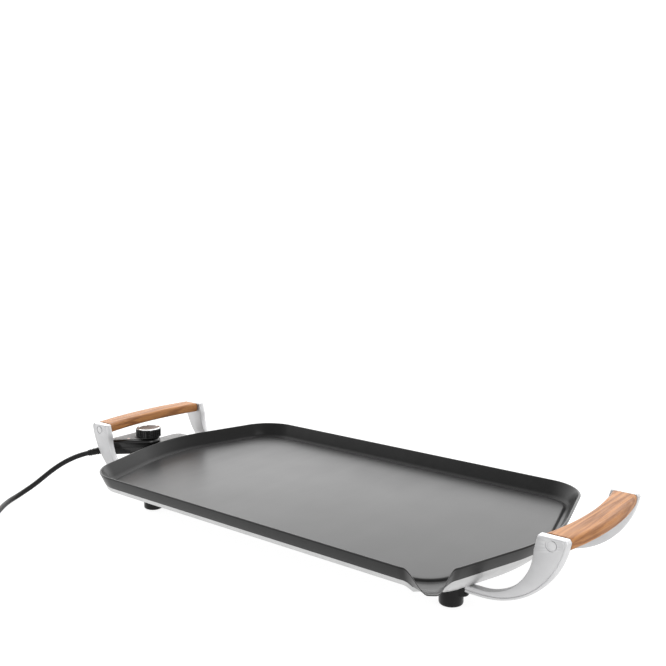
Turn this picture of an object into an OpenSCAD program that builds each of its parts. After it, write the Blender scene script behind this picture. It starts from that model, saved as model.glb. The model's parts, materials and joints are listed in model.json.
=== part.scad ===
// Electric griddle with wooden handles and a plug-in temperature controller.
// Millimetres. +X runs to the right-hand handle, +Y to the back, +Z up.
// The origin is on the worktop, under the middle of the cooking plate.

/* [Cooking plate] */
// Length of the plate over its bowed ends
plate_l = 610; // [590:5:620]
// Width of the plate over its straight long sides
plate_w = 350; // [340:5:360]
// Height of the rim above the worktop
rim_z = 65; // [65:1:67]
// Depth from the rim down to the cooking surface
tray_depth = 16.5; // [15:0.5:17]
// Radius of the four corners
corner_r = 56; // [50:1:60]
// How far the pouring spout stands out from its corner
spout_out = 33; // [24:1:34]

/* [Base pan] */
// Height of the pan's floor above the worktop
pan_z = 26; // [26:0.5:26.5]
// Length of the pan's flat floor
pan_l = 550; // [540:2:556]
// Width of the pan's flat floor
pan_w = 264; // [256:2:270]
// Thickness of the pan's sheet
sheet_t = 1.2; // [1:0.1:1.5]

/* [Handles] */
// Outer face of each bracket, measured from the middle of the griddle
bracket_y = 93; // [92:0.5:94]
// Thickness of a bracket
bracket_t = 9; // [8:0.5:9]
// Height of the top of the handles
handle_z = 99; // [98.6:0.2:102]
// Width of the wooden grip across its section
grip_w = 28; // [26:0.5:29]
// Thickness of the wooden grip
grip_t = 13; // [12:0.5:13]
// How far the middle of the grip bows outwards
grip_bow = 8.5; // [7:0.5:9]

/* [Feet] */
// Distance of each foot from the middle, along X
foot_x = 235; // [233:1:237]
// Distance of each foot from the middle, along Y
foot_y = 91; // [90:0.5:92]
// Radius of a foot
foot_r = 13; // [12.5:0.5:14]

/* [Controller] */
// Diameter of the temperature knob
knob_d = 36; // [34:0.5:36]
// Height of the temperature knob
knob_h = 13.2; // [12:0.2:13.2]
// Length of the sensing probe outside the controller
probe_l = 104; // [80:1:110]
// Diameter of the lead
cord_d = 7; // [6.4:0.2:7]

/* [Hidden] */
$fn = 64;

// Colours
plate_black = [0.13, 0.13, 0.13];
pan_silver = [0.85, 0.85, 0.84];
cast_silver = [0.82, 0.82, 0.81];
moulded_black = [0.06, 0.06, 0.06];
grip_wood = [0.72, 0.47, 0.28];
shelf_grey = [0.68, 0.68, 0.68];
screw_steel = [0.7, 0.7, 0.72];
contact_brass = [0.78, 0.63, 0.3];

// Plan outline of the plate: a wide arc across each end, a straight slant, a corner, a straight side
end_r = 220;
end_a = 16;
corner_steps = 20;
end_steps = 6;
half_l = plate_l / 2;
half_w = plate_w / 2;

// Heights inside and under the plate
surface_z = rim_z - tray_depth;
channel_z = surface_z - 3;
skirt_z = rim_z - 16;
under_z = rim_z - 22.5;
axis_z = under_z - 4.3;

// Heating element and its connector at the left-hand end
element_r = 4;
element_bend = 25;
lane_y = 105;
lane_x = 238;
inlet_y = -24;
pin_pitch = 22;
pin_r = 2.4;
pin_y = [inlet_y - pin_pitch / 2, inlet_y + pin_pitch / 2];
block_x = -283;
clamp_x = [-120, 120];
post_gap = 11;
clamp_z = axis_z - element_r;
shelf_z = skirt_z - 0.1 - sheet_t;
tab_z = under_z - sheet_t;
shelf_tab = [[-298.8, 10], [-292.6, 52]];
tab_hole = 17;
pan_boss = [[-190, -62], [0, -62], [190, -62], [-190, 62], [0, 62], [190, 62]];

// Handles
outer_c = [270, 111];
outer_r = 94;
inner_c = [270, 83];
inner_r = 57;
root_z = 17;
bracket_top_in = 331;
grip_x = 347.5;
grip_end_y = bracket_y - bracket_t;
grip_r = (pow(grip_end_y, 2) + pow(grip_bow, 2)) / (2 * grip_bow);
grip_screw = [346, 91];
cap_r = 4.8;

// Feet and their screws
pad_r = 10.2;
screw_r = 2;
eye_r = 9;

// Controller, seen from above
knob_c = [-323, -24];
tail_c = [-353.5, -68];
tail_r = 8;
back_c = [-349, -24];
back_r = 12;
head_r = 17;
deck_z = 49.5;
split_z = 60;
lid_z = 70;
wall = 2;
knob_z = lid_z + 1.3;
knob_r = knob_d / 2;
spindle_r = 3;
case_screw = [[-351, -30], [-353, -66]];
socket_r = 3.6;

// Strain relief and lead
relief_from = [-356, -74.5, 57];
relief_dir = [-12, -22.5, -3];
cord_r = cord_d / 2;
cord_sides = 10;
route = [
    [-368, -97, 54], [-373, -109, 52], [-378, -120, 48.5], [-384, -131, 43], [-391, -141, 35.5],
    [-398.5, -151.5, 26], [-405, -163, 16.5], [-409, -175.5, 9.5], [-409, -188.5, 5.2],
    [-404.5, -202, 3.6], [-396, -215, 3.5], [-385, -228.5, 3.5], [-373, -242, 3.5], [-360.5, -256, 3.5],
    [-348, -270.5, 3.5], [-335.5, -285.5, 4], [-324, -300, 4.5]
];

// Coil of spare lead, its tie and the plug
coil_c = [-342, -344];
coil_in_r = 25.5;
coil_out_r = 45;
coil_z = 1;
coil_h = 14;
tie_t = 0.9;
plug_a = 205;
plug_z = 9.5;
plug_from = 25;

// Points along an arc about (x, y)
function arc(x, y, r, a0, a1, n) = [
    for (i = [0 : n]) [x + r * cos(a0 + (a1 - a0) * i / n), y + r * sin(a0 + (a1 - a0) * i / n)]
];

// Quarter of an outline, from the middle of the right-hand end round to the long side
function quarter(a, b, r_end, r_corner) =
    let (
        x0 = a - r_end * (1 - cos(end_a)),
        y0 = r_end * sin(end_a),
        cy = b - r_corner,
        cx = x0 - (r_corner + (cy - y0) * sin(end_a)) / cos(end_a)
    )
    concat(
        arc(a - r_end, 0, r_end, 0, end_a, end_steps),
        arc(cx, cy, r_corner, end_a, 90, corner_steps)
    );

function reversed(list) = [for (i = [len(list) - 1 : -1 : 0]) list[i]];
function without_first(list) = [for (i = [1 : len(list) - 1]) list[i]];
function without_last(list) = [for (i = [0 : len(list) - 2]) list[i]];

// Whole outline, anticlockwise
function outline(a, b, r_end, r_corner) =
    let (q = quarter(a, b, r_end, r_corner))
    concat(
        q,
        [for (p = reversed(q)) [-p[0], p[1]]],
        without_first([for (p = q) [-p[0], -p[1]]]),
        without_last([for (p = reversed(q)) [p[0], -p[1]]])
    );

// The plate's outline drawn in by some amount
function drawn_in(d) = outline(half_l - d, half_w - d, end_r - d, corner_r - d);

// The spout stands out along the bisector of the front right-hand corner
spout_a = -(90 + end_a) / 2;
spout_dir = [cos(spout_a), sin(spout_a)];
corner_mid = let (q = quarter(half_l, half_w, end_r, corner_r), m = q[end_steps + 1 + corner_steps / 2])
    [m[0], -m[1]];
spout_flat = 4;
spout_wide = 26;

// How strongly a point of the outline belongs to the spout, from 0 to 1
function spout_share(p) =
    let (
        across = abs((p[0] - corner_mid[0]) * -spout_dir[1] + (p[1] - corner_mid[1]) * spout_dir[0]),
        t = min(max((across - spout_flat) / (spout_wide - spout_flat), 0), 1)
    )
    (p[0] > 0 && p[1] < 0) ? 1 - t * t * (3 - 2 * t) : 0;

// A ring of the plate at an inset and a height; at the spout it moves out and down
function plate_ring(inset, z, out, drop) = [
    for (p = drawn_in(inset))
        let (s = spout_share(p)) [p[0] + s * out * spout_dir[0], p[1] + s * out * spout_dir[1], z - s * drop]
];
function pan_ring(d, z) = [
    for (p = outline(pan_l / 2 - d, pan_w / 2 - d, end_r, 34 - d)) [p[0], p[1], z]
];

// A closed solid through a stack of rings that all have the same number of points
module lofted(rings) {
    n = len(rings[0]);
    polyhedron(
        points = [for (ring = rings) each ring],
        faces = concat(
            [[for (i = [0 : n - 1]) i]],
            [for (k = [0 : len(rings) - 2], i = [0 : n - 1])
                [k * n + i, (k + 1) * n + i, (k + 1) * n + (i + 1) % n]],
            [for (k = [0 : len(rings) - 2], i = [0 : n - 1])
                [k * n + i, (k + 1) * n + (i + 1) % n, k * n + (i + 1) % n]],
            [[for (i = [n - 1 : -1 : 0]) (len(rings) - 1) * n + i]]
        )
    );
}

// A copy at each of the four feet
module at_feet() {
    for (sx = [-1, 1], sy = [-1, 1])
        translate([sx * foot_x, sy * foot_y, 0])
            children();
}

// Turned so that +Z points along a direction, from a place
module along(from, dir) {
    translate(from)
        rotate([0, acos(dir[2] / norm(dir)), atan2(dir[1], dir[0])])
            children();
}

// ---- Cooking plate and heating ----

module griddle_plate() {
    color(plate_black)
        difference() {
            union() {
                lofted([
                    plate_ring(18, under_z, 0, 0),
                    plate_ring(13, under_z + 1.4, 0, 0),
                    plate_ring(9.5, skirt_z, 8, 4.8),
                    plate_ring(7, skirt_z, 10, 5),
                    plate_ring(0.3, rim_z - 1.2, spout_out - 1, 9.8),
                    plate_ring(1.2, rim_z, spout_out, 10),
                    plate_ring(2.8, rim_z, spout_out, 10),
                    plate_ring(9.5, rim_z - 13, spout_out - 6, 1.5),
                    plate_ring(11, rim_z - 16.5, spout_out - 11, 0.5),
                    plate_ring(14, channel_z, 15, -0.5),
                    plate_ring(17.5, channel_z, 0, 0),
                    plate_ring(20, surface_z, 0, 0)
                ]);
                for (p = pan_boss)
                    translate([p[0], p[1], pan_z + sheet_t])
                        cylinder(h = under_z + 1 - pan_z - sheet_t, r = 6);
                for (x = clamp_x, sy = [-1, 1], d = [-post_gap, post_gap])
                    translate([x, sy * lane_y + d, clamp_z])
                        cylinder(h = under_z + 1 - clamp_z, r = 4);
            }
            for (p = pan_boss)
                translate([p[0], p[1], pan_z])
                    cylinder(h = 13, r = screw_r + 0.05);
            for (x = clamp_x, sy = [-1, 1], d = [-post_gap, post_gap])
                translate([x, sy * lane_y + d, clamp_z - 1])
                    cylinder(h = 8, r = 1.55);
            for (t = shelf_tab)
                translate([t[0] + tab_hole, t[1], under_z - 1])
                    cylinder(h = 5, r = 1.55);
        }
}

// A quarter bend of the element, its ends on the X and Y axes of its own corner
module bend(x, y, turn) {
    translate([x, y, axis_z])
        rotate([0, 0, turn])
            rotate_extrude(angle = 90)
                translate([element_bend, 0])
                    circle(r = element_r);
}

module run_x(x0, x1, y) {
    translate([x0, y, axis_z])
        rotate([0, 90, 0])
            cylinder(h = x1 - x0, r = element_r);
}

module run_y(x, y0, y1) {
    translate([x, y0, axis_z])
        rotate([-90, 0, 0])
            cylinder(h = y1 - y0, r = element_r);
}

module heating_element() {
    e = element_bend;
    color("dimgray") {
        run_x(block_x + 4, -lane_x - e + 0.01, pin_y[0]);
        run_x(block_x + 4, -lane_x - e + 0.01, pin_y[1]);
        bend(-lane_x - e, pin_y[0] - e, 0);
        bend(-lane_x - e, pin_y[1] + e, -90);
        run_y(-lane_x, -lane_y + e, pin_y[0] - e);
        run_y(-lane_x, pin_y[1] + e, lane_y - e);
        bend(-lane_x + e, -lane_y + e, 180);
        bend(-lane_x + e, lane_y - e, 90);
        run_x(-lane_x + e, lane_x - e, -lane_y);
        run_x(-lane_x + e, lane_x - e, lane_y);
        bend(lane_x - e, -lane_y + e, -90);
        bend(lane_x - e, lane_y - e, 0);
        run_y(lane_x, -lane_y + e, lane_y - e);
    }
}

module element_clamps() {
    color("gainsboro")
        for (x = clamp_x, sy = [-1, 1])
            difference() {
                translate([x - 6, sy * lane_y - post_gap - 6, clamp_z - 1.5])
                    cube([12, 2 * post_gap + 12, 1.5]);
                for (d = [-post_gap, post_gap])
                    translate([x, sy * lane_y + d, clamp_z - 2])
                        cylinder(h = 3, r = 1.7);
            }
}

module clamp_screws() {
    color(screw_steel)
        for (x = clamp_x, sy = [-1, 1], d = [-post_gap, post_gap])
            translate([x, sy * lane_y + d, clamp_z - 1.5]) {
                cylinder(h = 8, r = 1.5);
                translate([0, 0, -1.8])
                    cylinder(h = 1.8, r = 3);
            }
}

module terminal_block() {
    color("linen")
        difference() {
            translate([block_x - 5, inlet_y - 19, axis_z - 6.5])
                cube([9, 38, 10.6]);
            for (y = pin_y)
                translate([block_x - 6, y, axis_z])
                    rotate([0, 90, 0])
                        cylinder(h = 11, r = pin_r + 0.05);
            translate([block_x - 6, inlet_y, axis_z])
                rotate([0, 90, 0])
                    cylinder(h = 11, r = 3.4);
        }
}

module terminal_pins() {
    color(screw_steel)
        for (y = pin_y)
            translate([block_x - 38, y, axis_z]) {
                rotate([0, 90, 0])
                    cylinder(h = 42, r = pin_r);
                sphere(r = pin_r);
            }
}

module probe_well() {
    color(screw_steel)
        translate([block_x + 4, inlet_y, axis_z])
            rotate([0, 90, 0])
                difference() {
                    cylinder(h = 92, r = 4.3);
                    translate([0, 0, -1])
                        cylinder(h = 90, r = spindle_r + 0.08);
                }
}

// ---- Base ----

// The pan's upper wall tucks under the skirt; at the spout it moves in and dips
function pan_wall(d, z) = [
    for (p = drawn_in(d))
        let (s = spout_share(p))
            [p[0] - s * 11.5 * spout_dir[0], p[1] - s * 11.5 * spout_dir[1], z - min(1, 2 * s) * 7.5]
];

module base_pan() {
    color(pan_silver)
        difference() {
            lofted([
                pan_ring(0, pan_z),
                pan_wall(9.2, skirt_z - 5.5),
                pan_wall(7.2, skirt_z),
                pan_wall(7.2 + sheet_t, skirt_z),
                pan_wall(9.1 + sheet_t, skirt_z - 4.4),
                pan_ring(sheet_t, pan_z + sheet_t)
            ]);
            translate([-330, inlet_y - 20, pan_z + 3])
                cube([60, 40, 40]);
            for (t = shelf_tab)
                translate([t[0] - 10, t[1] - 5.3, tab_z - 0.2])
                    cube([34, 10.6, sheet_t + 0.4]);
            for (p = pan_boss)
                translate([p[0], p[1], pan_z - 1])
                    cylinder(h = 4, r = screw_r + 0.3);
            at_feet()
                translate([0, 0, pan_z - 1])
                    cylinder(h = 4, r = screw_r + 0.3);
        }
}

function tray_ring(d, z) = [for (p = outline(264 - d, 119 - d, end_r, 30 - d)) [p[0], p[1], z]];

module heat_reflector() {
    color("whitesmoke")
        difference() {
            lofted([
                tray_ring(0.6, pan_z + sheet_t),
                tray_ring(0, pan_z + sheet_t),
                tray_ring(0, pan_z + 4),
                tray_ring(0.2, pan_z + 4)
            ]);
            translate([0, 0, pan_z + sheet_t - 0.01])
                linear_extrude(2.2)
                    polygon(outline(263.4, 118.4, end_r, 29.4));
            for (p = pan_boss)
                translate([p[0], p[1], pan_z])
                    cylinder(h = 8, r = 7.5);
            at_feet()
                translate([0, 0, pan_z])
                    cylinder(h = 8, r = 6.5);
        }
}

module controller_shelf() {
    color(shelf_grey) {
        difference() {
            translate([0, 0, shelf_z])
                linear_extrude(sheet_t)
                    difference() {
                        union() {
                            translate([-356, -4])
                                square([80, 76]);
                            translate([-368, -4])
                                square([20, 64]);
                            translate([-356, 60])
                                circle(r = 12);
                        }
                        polygon(drawn_in(6));
                    }
        }
        translate([-356, -4, shelf_z - 14])
            cube([52, sheet_t, 14.5]);
        for (t = shelf_tab)
            difference() {
                translate([t[0] - sheet_t, t[1] - 5, tab_z]) {
                    cube([sheet_t, 10, shelf_z + 0.5 - tab_z]);
                    cube([24, 10, sheet_t]);
                }
                translate([t[0] + tab_hole, t[1], tab_z - 1])
                    cylinder(h = 4, r = 1.7);
            }
    }
}

module shelf_screws() {
    color(screw_steel)
        for (t = shelf_tab)
            translate([t[0] + tab_hole, t[1], tab_z]) {
                cylinder(h = 4.6, r = 1.5);
                translate([0, 0, -1.8])
                    cylinder(h = 1.8, r = 2.8);
            }
}

module pan_screws() {
    color(screw_steel)
        for (p = pan_boss)
            translate([p[0], p[1], pan_z]) {
                cylinder(h = 11, r = screw_r);
                translate([0, 0, -2.2])
                    cylinder(h = 2.2, r = 4);
            }
}

// ---- Feet ----

// A foot in its own frame: outboard is +X, towards the middle of the griddle is +Y
module foot(sx, sy) {
    slot_y = foot_y - bracket_y;
    color(moulded_black)
        translate([sx * foot_x, sy * foot_y, 0])
            mirror([sx < 0 ? 1 : 0, 0, 0])
                mirror([0, sy > 0 ? 1 : 0, 0])
                    difference() {
                        union() {
                            translate([0, 0, 1])
                                cylinder(h = 1.2, r1 = foot_r - 1.2, r2 = foot_r);
                            translate([0, 0, 2.2])
                                cylinder(h = pan_z - 2.2, r = foot_r);
                            hull()
                                for (x = [0, foot_r - 1.5])
                                    translate([x, slot_y + bracket_t / 2, root_z - 5])
                                        cylinder(h = pan_z - root_z + 5, r = bracket_t / 2 + 3);
                        }
                        translate([0, 0, root_z - 0.3])
                            cylinder(h = 12, r = eye_r + 0.6);
                        translate([0, slot_y - 0.3, root_z - 0.3])
                            cube([40, bracket_t + 0.6, 12]);
                        cylinder(h = 4, r = pad_r + 0.2);
                        cylinder(h = 30, r = screw_r + 0.3);
                        cylinder(h = 9, r = 4.6);
                    }
}

module foot_front_left() { foot(-1, -1); }
module foot_front_right() { foot(1, -1); }
module foot_back_left() { foot(-1, 1); }
module foot_back_right() { foot(1, 1); }

module foot_pads() {
    color("darkslategray")
        at_feet()
            difference() {
                cylinder(h = 4, r = pad_r);
                translate([0, 0, -1])
                    cylinder(h = 6, r = 5);
            }
}

module foot_screws() {
    color(screw_steel)
        at_feet() {
            translate([0, 0, 6])
                cylinder(h = 27, r = screw_r);
            translate([0, 0, 6])
                cylinder(h = 3, r = 4.2);
        }
}

module foot_nuts() {
    color(screw_steel)
        at_feet()
            translate([0, 0, pan_z + sheet_t])
                difference() {
                    cylinder(h = 3.2, r = 4.6, $fn = 6);
                    translate([0, 0, -1])
                        cylinder(h = 6, r = screw_r + 0.05);
                }
}

// ---- Handles ----

// Side view of a bracket: a crescent that springs from the pan's floor
module crescent() {
    lean = asin((handle_z - outer_c[1]) / outer_r);
    polygon(concat(
        [[foot_x, pan_z]],
        arc(inner_c[0], inner_c[1], inner_r, -90, 0, 24),
        [[bracket_top_in, handle_z]],
        [[outer_c[0] + outer_r * cos(lean) - 2.5, handle_z]],
        arc(outer_c[0], outer_c[1], outer_r, lean - 2, -90, 28),
        [[foot_x, root_z]]
    ));
}

// sx, sy pick the corner
module bracket(sx, sy) {
    color(cast_silver)
        mirror([sx < 0 ? 1 : 0, 0, 0])
            mirror([0, sy > 0 ? 1 : 0, 0])
                difference() {
                    union() {
                        translate([0, -grip_end_y, 0])
                            rotate([90, 0, 0])
                                linear_extrude(bracket_t)
                                    crescent();
                        translate([foot_x, -foot_y, root_z])
                            cylinder(h = pan_z - root_z, r = eye_r);
                    }
                    translate([foot_x, -foot_y, root_z - 1])
                        cylinder(h = 12, r = screw_r + 0.3);
                    translate([grip_screw[0], -bracket_y - 1, grip_screw[1]])
                        rotate([-90, 0, 0])
                            cylinder(h = bracket_t + 2, r = screw_r + 0.3);
                    translate([grip_screw[0], -bracket_y - 1, grip_screw[1]])
                        rotate([-90, 0, 0])
                            cylinder(h = 5.2, r = cap_r + 0.1);
                }
}

module bracket_front_left() { bracket(-1, -1); }
module bracket_front_right() { bracket(1, -1); }
module bracket_back_left() { bracket(-1, 1); }
module bracket_back_right() { bracket(1, 1); }

// Rounded section of the grip, about its own middle
module grip_section() {
    r = 4;
    hull()
        for (x = [-1, 1], y = [-1, 1])
            translate([x * (grip_w / 2 - r), y * (grip_t / 2 - r)])
                circle(r = r, $fn = 32);
}

module grip(sx) {
    color(grip_wood)
        mirror([sx < 0 ? 1 : 0, 0, 0])
            difference() {
                intersection() {
                    translate([grip_x + grip_bow - grip_r, 0, handle_z - grip_t / 2])
                        rotate([0, 0, -14])
                            rotate_extrude(angle = 28, $fn = 240)
                                translate([grip_r, 0])
                                    grip_section();
                    translate([300, -grip_end_y, 60])
                        cube([100, 2 * grip_end_y, 60]);
                }
                for (sy = [-1, 1])
                    translate([grip_screw[0], sy * grip_end_y, grip_screw[1]])
                        rotate([sy * 90, 0, 0])
                            translate([0, 0, -1])
                                cylinder(h = 24, r = screw_r + 0.05);
            }
}

module grip_left() { grip(-1); }
module grip_right() { grip(1); }

// A copy at each end of each grip, +Z pointing into the wood from the bracket's outer face
module at_grip_ends() {
    for (sx = [-1, 1], sy = [-1, 1])
        translate([sx * grip_screw[0], sy * bracket_y, grip_screw[1]])
            rotate([sy * 90, 0, 0])
                children();
}

module grip_screws() {
    color(screw_steel)
        at_grip_ends()
            translate([0, 0, 2]) {
                cylinder(h = 28, r = screw_r);
                cylinder(h = 2.2, r = 4);
            }
}

module screw_caps() {
    color(cast_silver)
        at_grip_ends()
            cylinder(h = 1.6, r = cap_r);
}

// ---- Controller ----

// Plan of the controller's upper body, drawn in by some amount
module body_plan(d) {
    hull() {
        translate(knob_c)
            circle(r = head_r - d, $fn = 32);
        translate(back_c)
            circle(r = back_r - d, $fn = 32);
        translate(tail_c)
            circle(r = tail_r - d, $fn = 32);
    }
}

module controller_lower_shell() {
    color(moulded_black)
        difference() {
            union() {
                translate([0, 0, deck_z])
                    linear_extrude(split_z - deck_z)
                        body_plan(0);
                translate([-338, inlet_y - 17, 30])
                    cube([32, 34, deck_z + wall - 30]);
            }
            translate([0, 0, deck_z + wall])
                linear_extrude(20)
                    body_plan(wall);
            translate([-336, inlet_y - 15, 32])
                cube([27.5, 30, deck_z - 32]);
            translate([0, 0, deck_z - 1])
                linear_extrude(wall + 2)
                    intersection() {
                        body_plan(wall);
                        translate([-336, inlet_y - 15])
                            square([27.5, 30]);
                    }
            for (y = pin_y)
                translate([-310, y, axis_z])
                    rotate([0, 90, 0])
                        cylinder(h = 6, r = socket_r - 0.6);
            translate([-340, inlet_y, axis_z])
                rotate([0, 90, 0])
                    cylinder(h = 40, r = spindle_r + 0.03);
            along(relief_from, relief_dir)
                translate([0, 0, -12])
                    cylinder(h = 20, r = 3.4);
            for (p = case_screw)
                translate([p[0], p[1], deck_z - 1]) {
                    cylinder(h = 5, r = 1.6);
                    cylinder(h = 2.1, r = 2.8);
                }
        }
}

module controller_upper_shell() {
    color(moulded_black)
        difference() {
            union() {
                difference() {
                    translate([0, 0, split_z])
                        hull() {
                            linear_extrude(lid_z - split_z - 3)
                                body_plan(0);
                            linear_extrude(lid_z - split_z)
                                body_plan(3);
                        }
                    translate([0, 0, split_z - 1])
                        linear_extrude(lid_z - split_z - 1)
                            body_plan(4);
                }
                for (p = case_screw)
                    translate([p[0], p[1], split_z])
                        cylinder(h = lid_z - split_z - 1, r = 3.2);
            }
            for (p = case_screw)
                translate([p[0], p[1], split_z - 1])
                    cylinder(h = 6, r = 1.45);
            translate([knob_c[0], knob_c[1], split_z])
                cylinder(h = 20, r = 5.02);
            translate([-336, -50, split_z])
                cylinder(h = 20, r = 1.82);
        }
}

module controller_faceplate() {
    color("silver")
        difference() {
            translate([0, 0, lid_z])
                linear_extrude(0.7)
                    body_plan(5);
            translate([knob_c[0], knob_c[1], lid_z - 1])
                cylinder(h = 4, r = 6);
            translate([-336, -50, lid_z - 1])
                cylinder(h = 4, r = 2.4);
        }
}

module controller_screws() {
    color(screw_steel)
        for (p = case_screw)
            translate([p[0], p[1], deck_z - 0.4]) {
                cylinder(h = 15, r = 1.4);
                cylinder(h = 1.4, r = 2.6);
            }
}

module pilot_lens() {
    color("mistyrose")
        translate([-336, -50, lid_z - 4]) {
            cylinder(h = 5, r = 1.8);
            translate([0, 0, 4])
                cylinder(h = 1.2, r = 2.2);
        }
}

module contact_sockets() {
    color(contact_brass)
        for (y = pin_y)
            translate([-327, y, axis_z])
                rotate([0, 90, 0])
                    difference() {
                        cylinder(h = 18.5, r = socket_r);
                        translate([0, 0, -1])
                            cylinder(h = 20, r = pin_r + 0.06);
                    }
}

module probe_rod() {
    color(screw_steel)
        translate([-306 - 24, inlet_y, axis_z]) {
            rotate([0, 90, 0])
                cylinder(h = probe_l + 24 - spindle_r, r = spindle_r);
            translate([probe_l + 24 - spindle_r, 0, 0])
                sphere(r = spindle_r);
        }
}

module thermostat_base() {
    color("linen")
        difference() {
            translate([-336, inlet_y - 15, axis_z + 4.2])
                cube([27.5, 30, 4]);
            translate([knob_c[0], knob_c[1], axis_z])
                cylinder(h = 20, r = 2.2);
        }
}

module contact_blade() {
    color(contact_brass)
        translate([-334, inlet_y - 13, axis_z + 8.2]) {
            cube([22, 5, 0.6]);
            translate([18, 2.5, 0.6])
                cylinder(h = 1, r = 2);
        }
}

module bimetal_blade() {
    color("darkkhaki")
        translate([-334, inlet_y - 2.5, axis_z + 8.2]) {
            cube([24, 5, 0.8]);
            translate([21, 2.5, 0.8])
                cylinder(h = 1, r = 2);
        }
}

module spindle_bush() {
    color(contact_brass)
        translate([knob_c[0], knob_c[1], lid_z - 6])
            difference() {
                union() {
                    cylinder(h = 6.9, r = 5);
                    cylinder(h = 4, r = 7);
                }
                translate([0, 0, -1])
                    cylinder(h = 10, r = spindle_r + 0.05);
            }
}

module plunger() {
    color("ivory")
        translate([knob_c[0], knob_c[1], axis_z + 9.4]) {
            cylinder(h = 8, r = 1.5);
            cylinder(h = 1.2, r = 3.4);
        }
}

module knob_spindle() {
    color(screw_steel)
        translate([knob_c[0], knob_c[1], 52])
            difference() {
                cylinder(h = knob_z + knob_h - 4 - 52, r = spindle_r);
                translate([0, 0, -1])
                    cylinder(h = 8, r = 1.6);
            }
}

module knob() {
    ribs = 30;
    color(moulded_black)
        translate([knob_c[0], knob_c[1], knob_z])
            difference() {
                union() {
                    cylinder(h = 1, r1 = knob_r - 0.8, r2 = knob_r);
                    translate([0, 0, 1])
                        cylinder(h = knob_h - 2.4, r = knob_r);
                    translate([0, 0, knob_h - 1.4])
                        cylinder(h = 0.8, r1 = knob_r, r2 = knob_r - 0.8);
                }
                for (i = [0 : ribs - 1])
                    rotate([0, 0, i * 360 / ribs])
                        translate([knob_r + 0.5, 0, 1.4])
                            cylinder(h = knob_h - 3.6, r = 1.1, $fn = 24);
                translate([0, 0, -1])
                    cylinder(h = knob_h - 3, r = spindle_r);
                translate([0, 0, -1])
                    difference() {
                        cylinder(h = knob_h - 4, r = knob_r - 3);
                        cylinder(h = 30, r = 6);
                    }
                translate([0, 0, knob_h - 1.6])
                    cylinder(h = 3, r = knob_r - 1.4);
            }
}

module knob_trim_ring() {
    color("gainsboro")
        translate([knob_c[0], knob_c[1], knob_z + knob_h - 1.6])
            rotate_extrude()
                polygon([
                    [knob_r - 3.4, 0], [knob_r - 1.4, 0], [knob_r - 1.4, 1.1],
                    [knob_r - 1.9, 1.6], [knob_r - 2.9, 1.6], [knob_r - 3.4, 1.1]
                ]);
}

module knob_dial() {
    color("lavenderblush")
        translate([knob_c[0], knob_c[1], knob_z + knob_h - 1.6])
            cylinder(h = 1, r = knob_r - 3.4);
}

// ---- Lead and plug ----

module strain_relief() {
    color(moulded_black)
        along(relief_from, relief_dir)
            difference() {
                union() {
                    cylinder(h = 26, r1 = 5.6, r2 = 4.3);
                    for (z = [6, 11, 16, 21])
                        translate([0, 0, z])
                            cylinder(h = 2.2, r = 5.6 - z * 0.045);
                }
                translate([0, 0, 24])
                    cylinder(h = 4, r = cord_r + 0.02);
            }
}

// Circle of points across the lead at one place of a path
function tube_ring(path, i) =
    let (
        a = path[max(i - 1, 0)],
        b = path[min(i + 1, len(path) - 1)],
        t = (b - a) / norm(b - a),
        side = cross(t, [0, 0, 1]) / norm(cross(t, [0, 0, 1])),
        up = cross(side, t)
    )
    [for (k = [0 : cord_sides - 1])
        let (w = k * 360 / cord_sides) path[i] + cord_r * (cos(w) * side + sin(w) * up)];

module cord() {
    color(moulded_black)
        lofted([for (i = [0 : len(route) - 1]) tube_ring(route, i)]);
}

module cord_coil() {
    color(moulded_black)
        translate([coil_c[0], coil_c[1], coil_z])
            rotate_extrude()
                polygon([
                    [coil_in_r + 2, 0], [coil_out_r - 2, 0], [coil_out_r, 2], [coil_out_r, coil_h - 2],
                    [coil_out_r - 2, coil_h], [coil_in_r + 2, coil_h], [coil_in_r, coil_h - 2], [coil_in_r, 2]
                ]);
}

module cord_tie() {
    mid = (coil_in_r + coil_out_r) / 2;
    span = coil_out_r - coil_in_r + 0.2;
    color("dimgray")
        translate([coil_c[0], coil_c[1], coil_z + coil_h / 2])
            rotate([0, 0, 120])
                translate([mid, 0, 0])
                    difference() {
                        cube([span + 2 * tie_t, 5, coil_h + 0.2 + 2 * tie_t], center = true);
                        cube([span, 6, coil_h + 0.2], center = true);
                    }
}

// Place of the plug's rear end, on the line that leaves the coil's outer turn
module at_plug() {
    r = coil_out_r - cord_r;
    translate([
        coil_c[0] + r * cos(plug_a) + plug_from * sin(plug_a),
        coil_c[1] + r * sin(plug_a) - plug_from * cos(plug_a),
        plug_z
    ])
        rotate([0, 0, plug_a - 90])
            children();
}

module plug_body() {
    color(moulded_black)
        at_plug() {
            rotate([0, 90, 0])
                cylinder(h = 18, r1 = 4.2, r2 = 6);
            hull() {
                translate([17, -8, -6])
                    cube([1, 16, 12]);
                translate([26, -12, -9])
                    cube([16, 24, 18]);
                translate([44, -11, -8])
                    cube([1, 22, 16]);
            }
        }
}

module plug_blades() {
    color(screw_steel)
        at_plug()
            for (y = [-6.35, 6.35])
                translate([45, y - 0.75, -3.15])
                    cube([16, 1.5, 6.3]);
}

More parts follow.
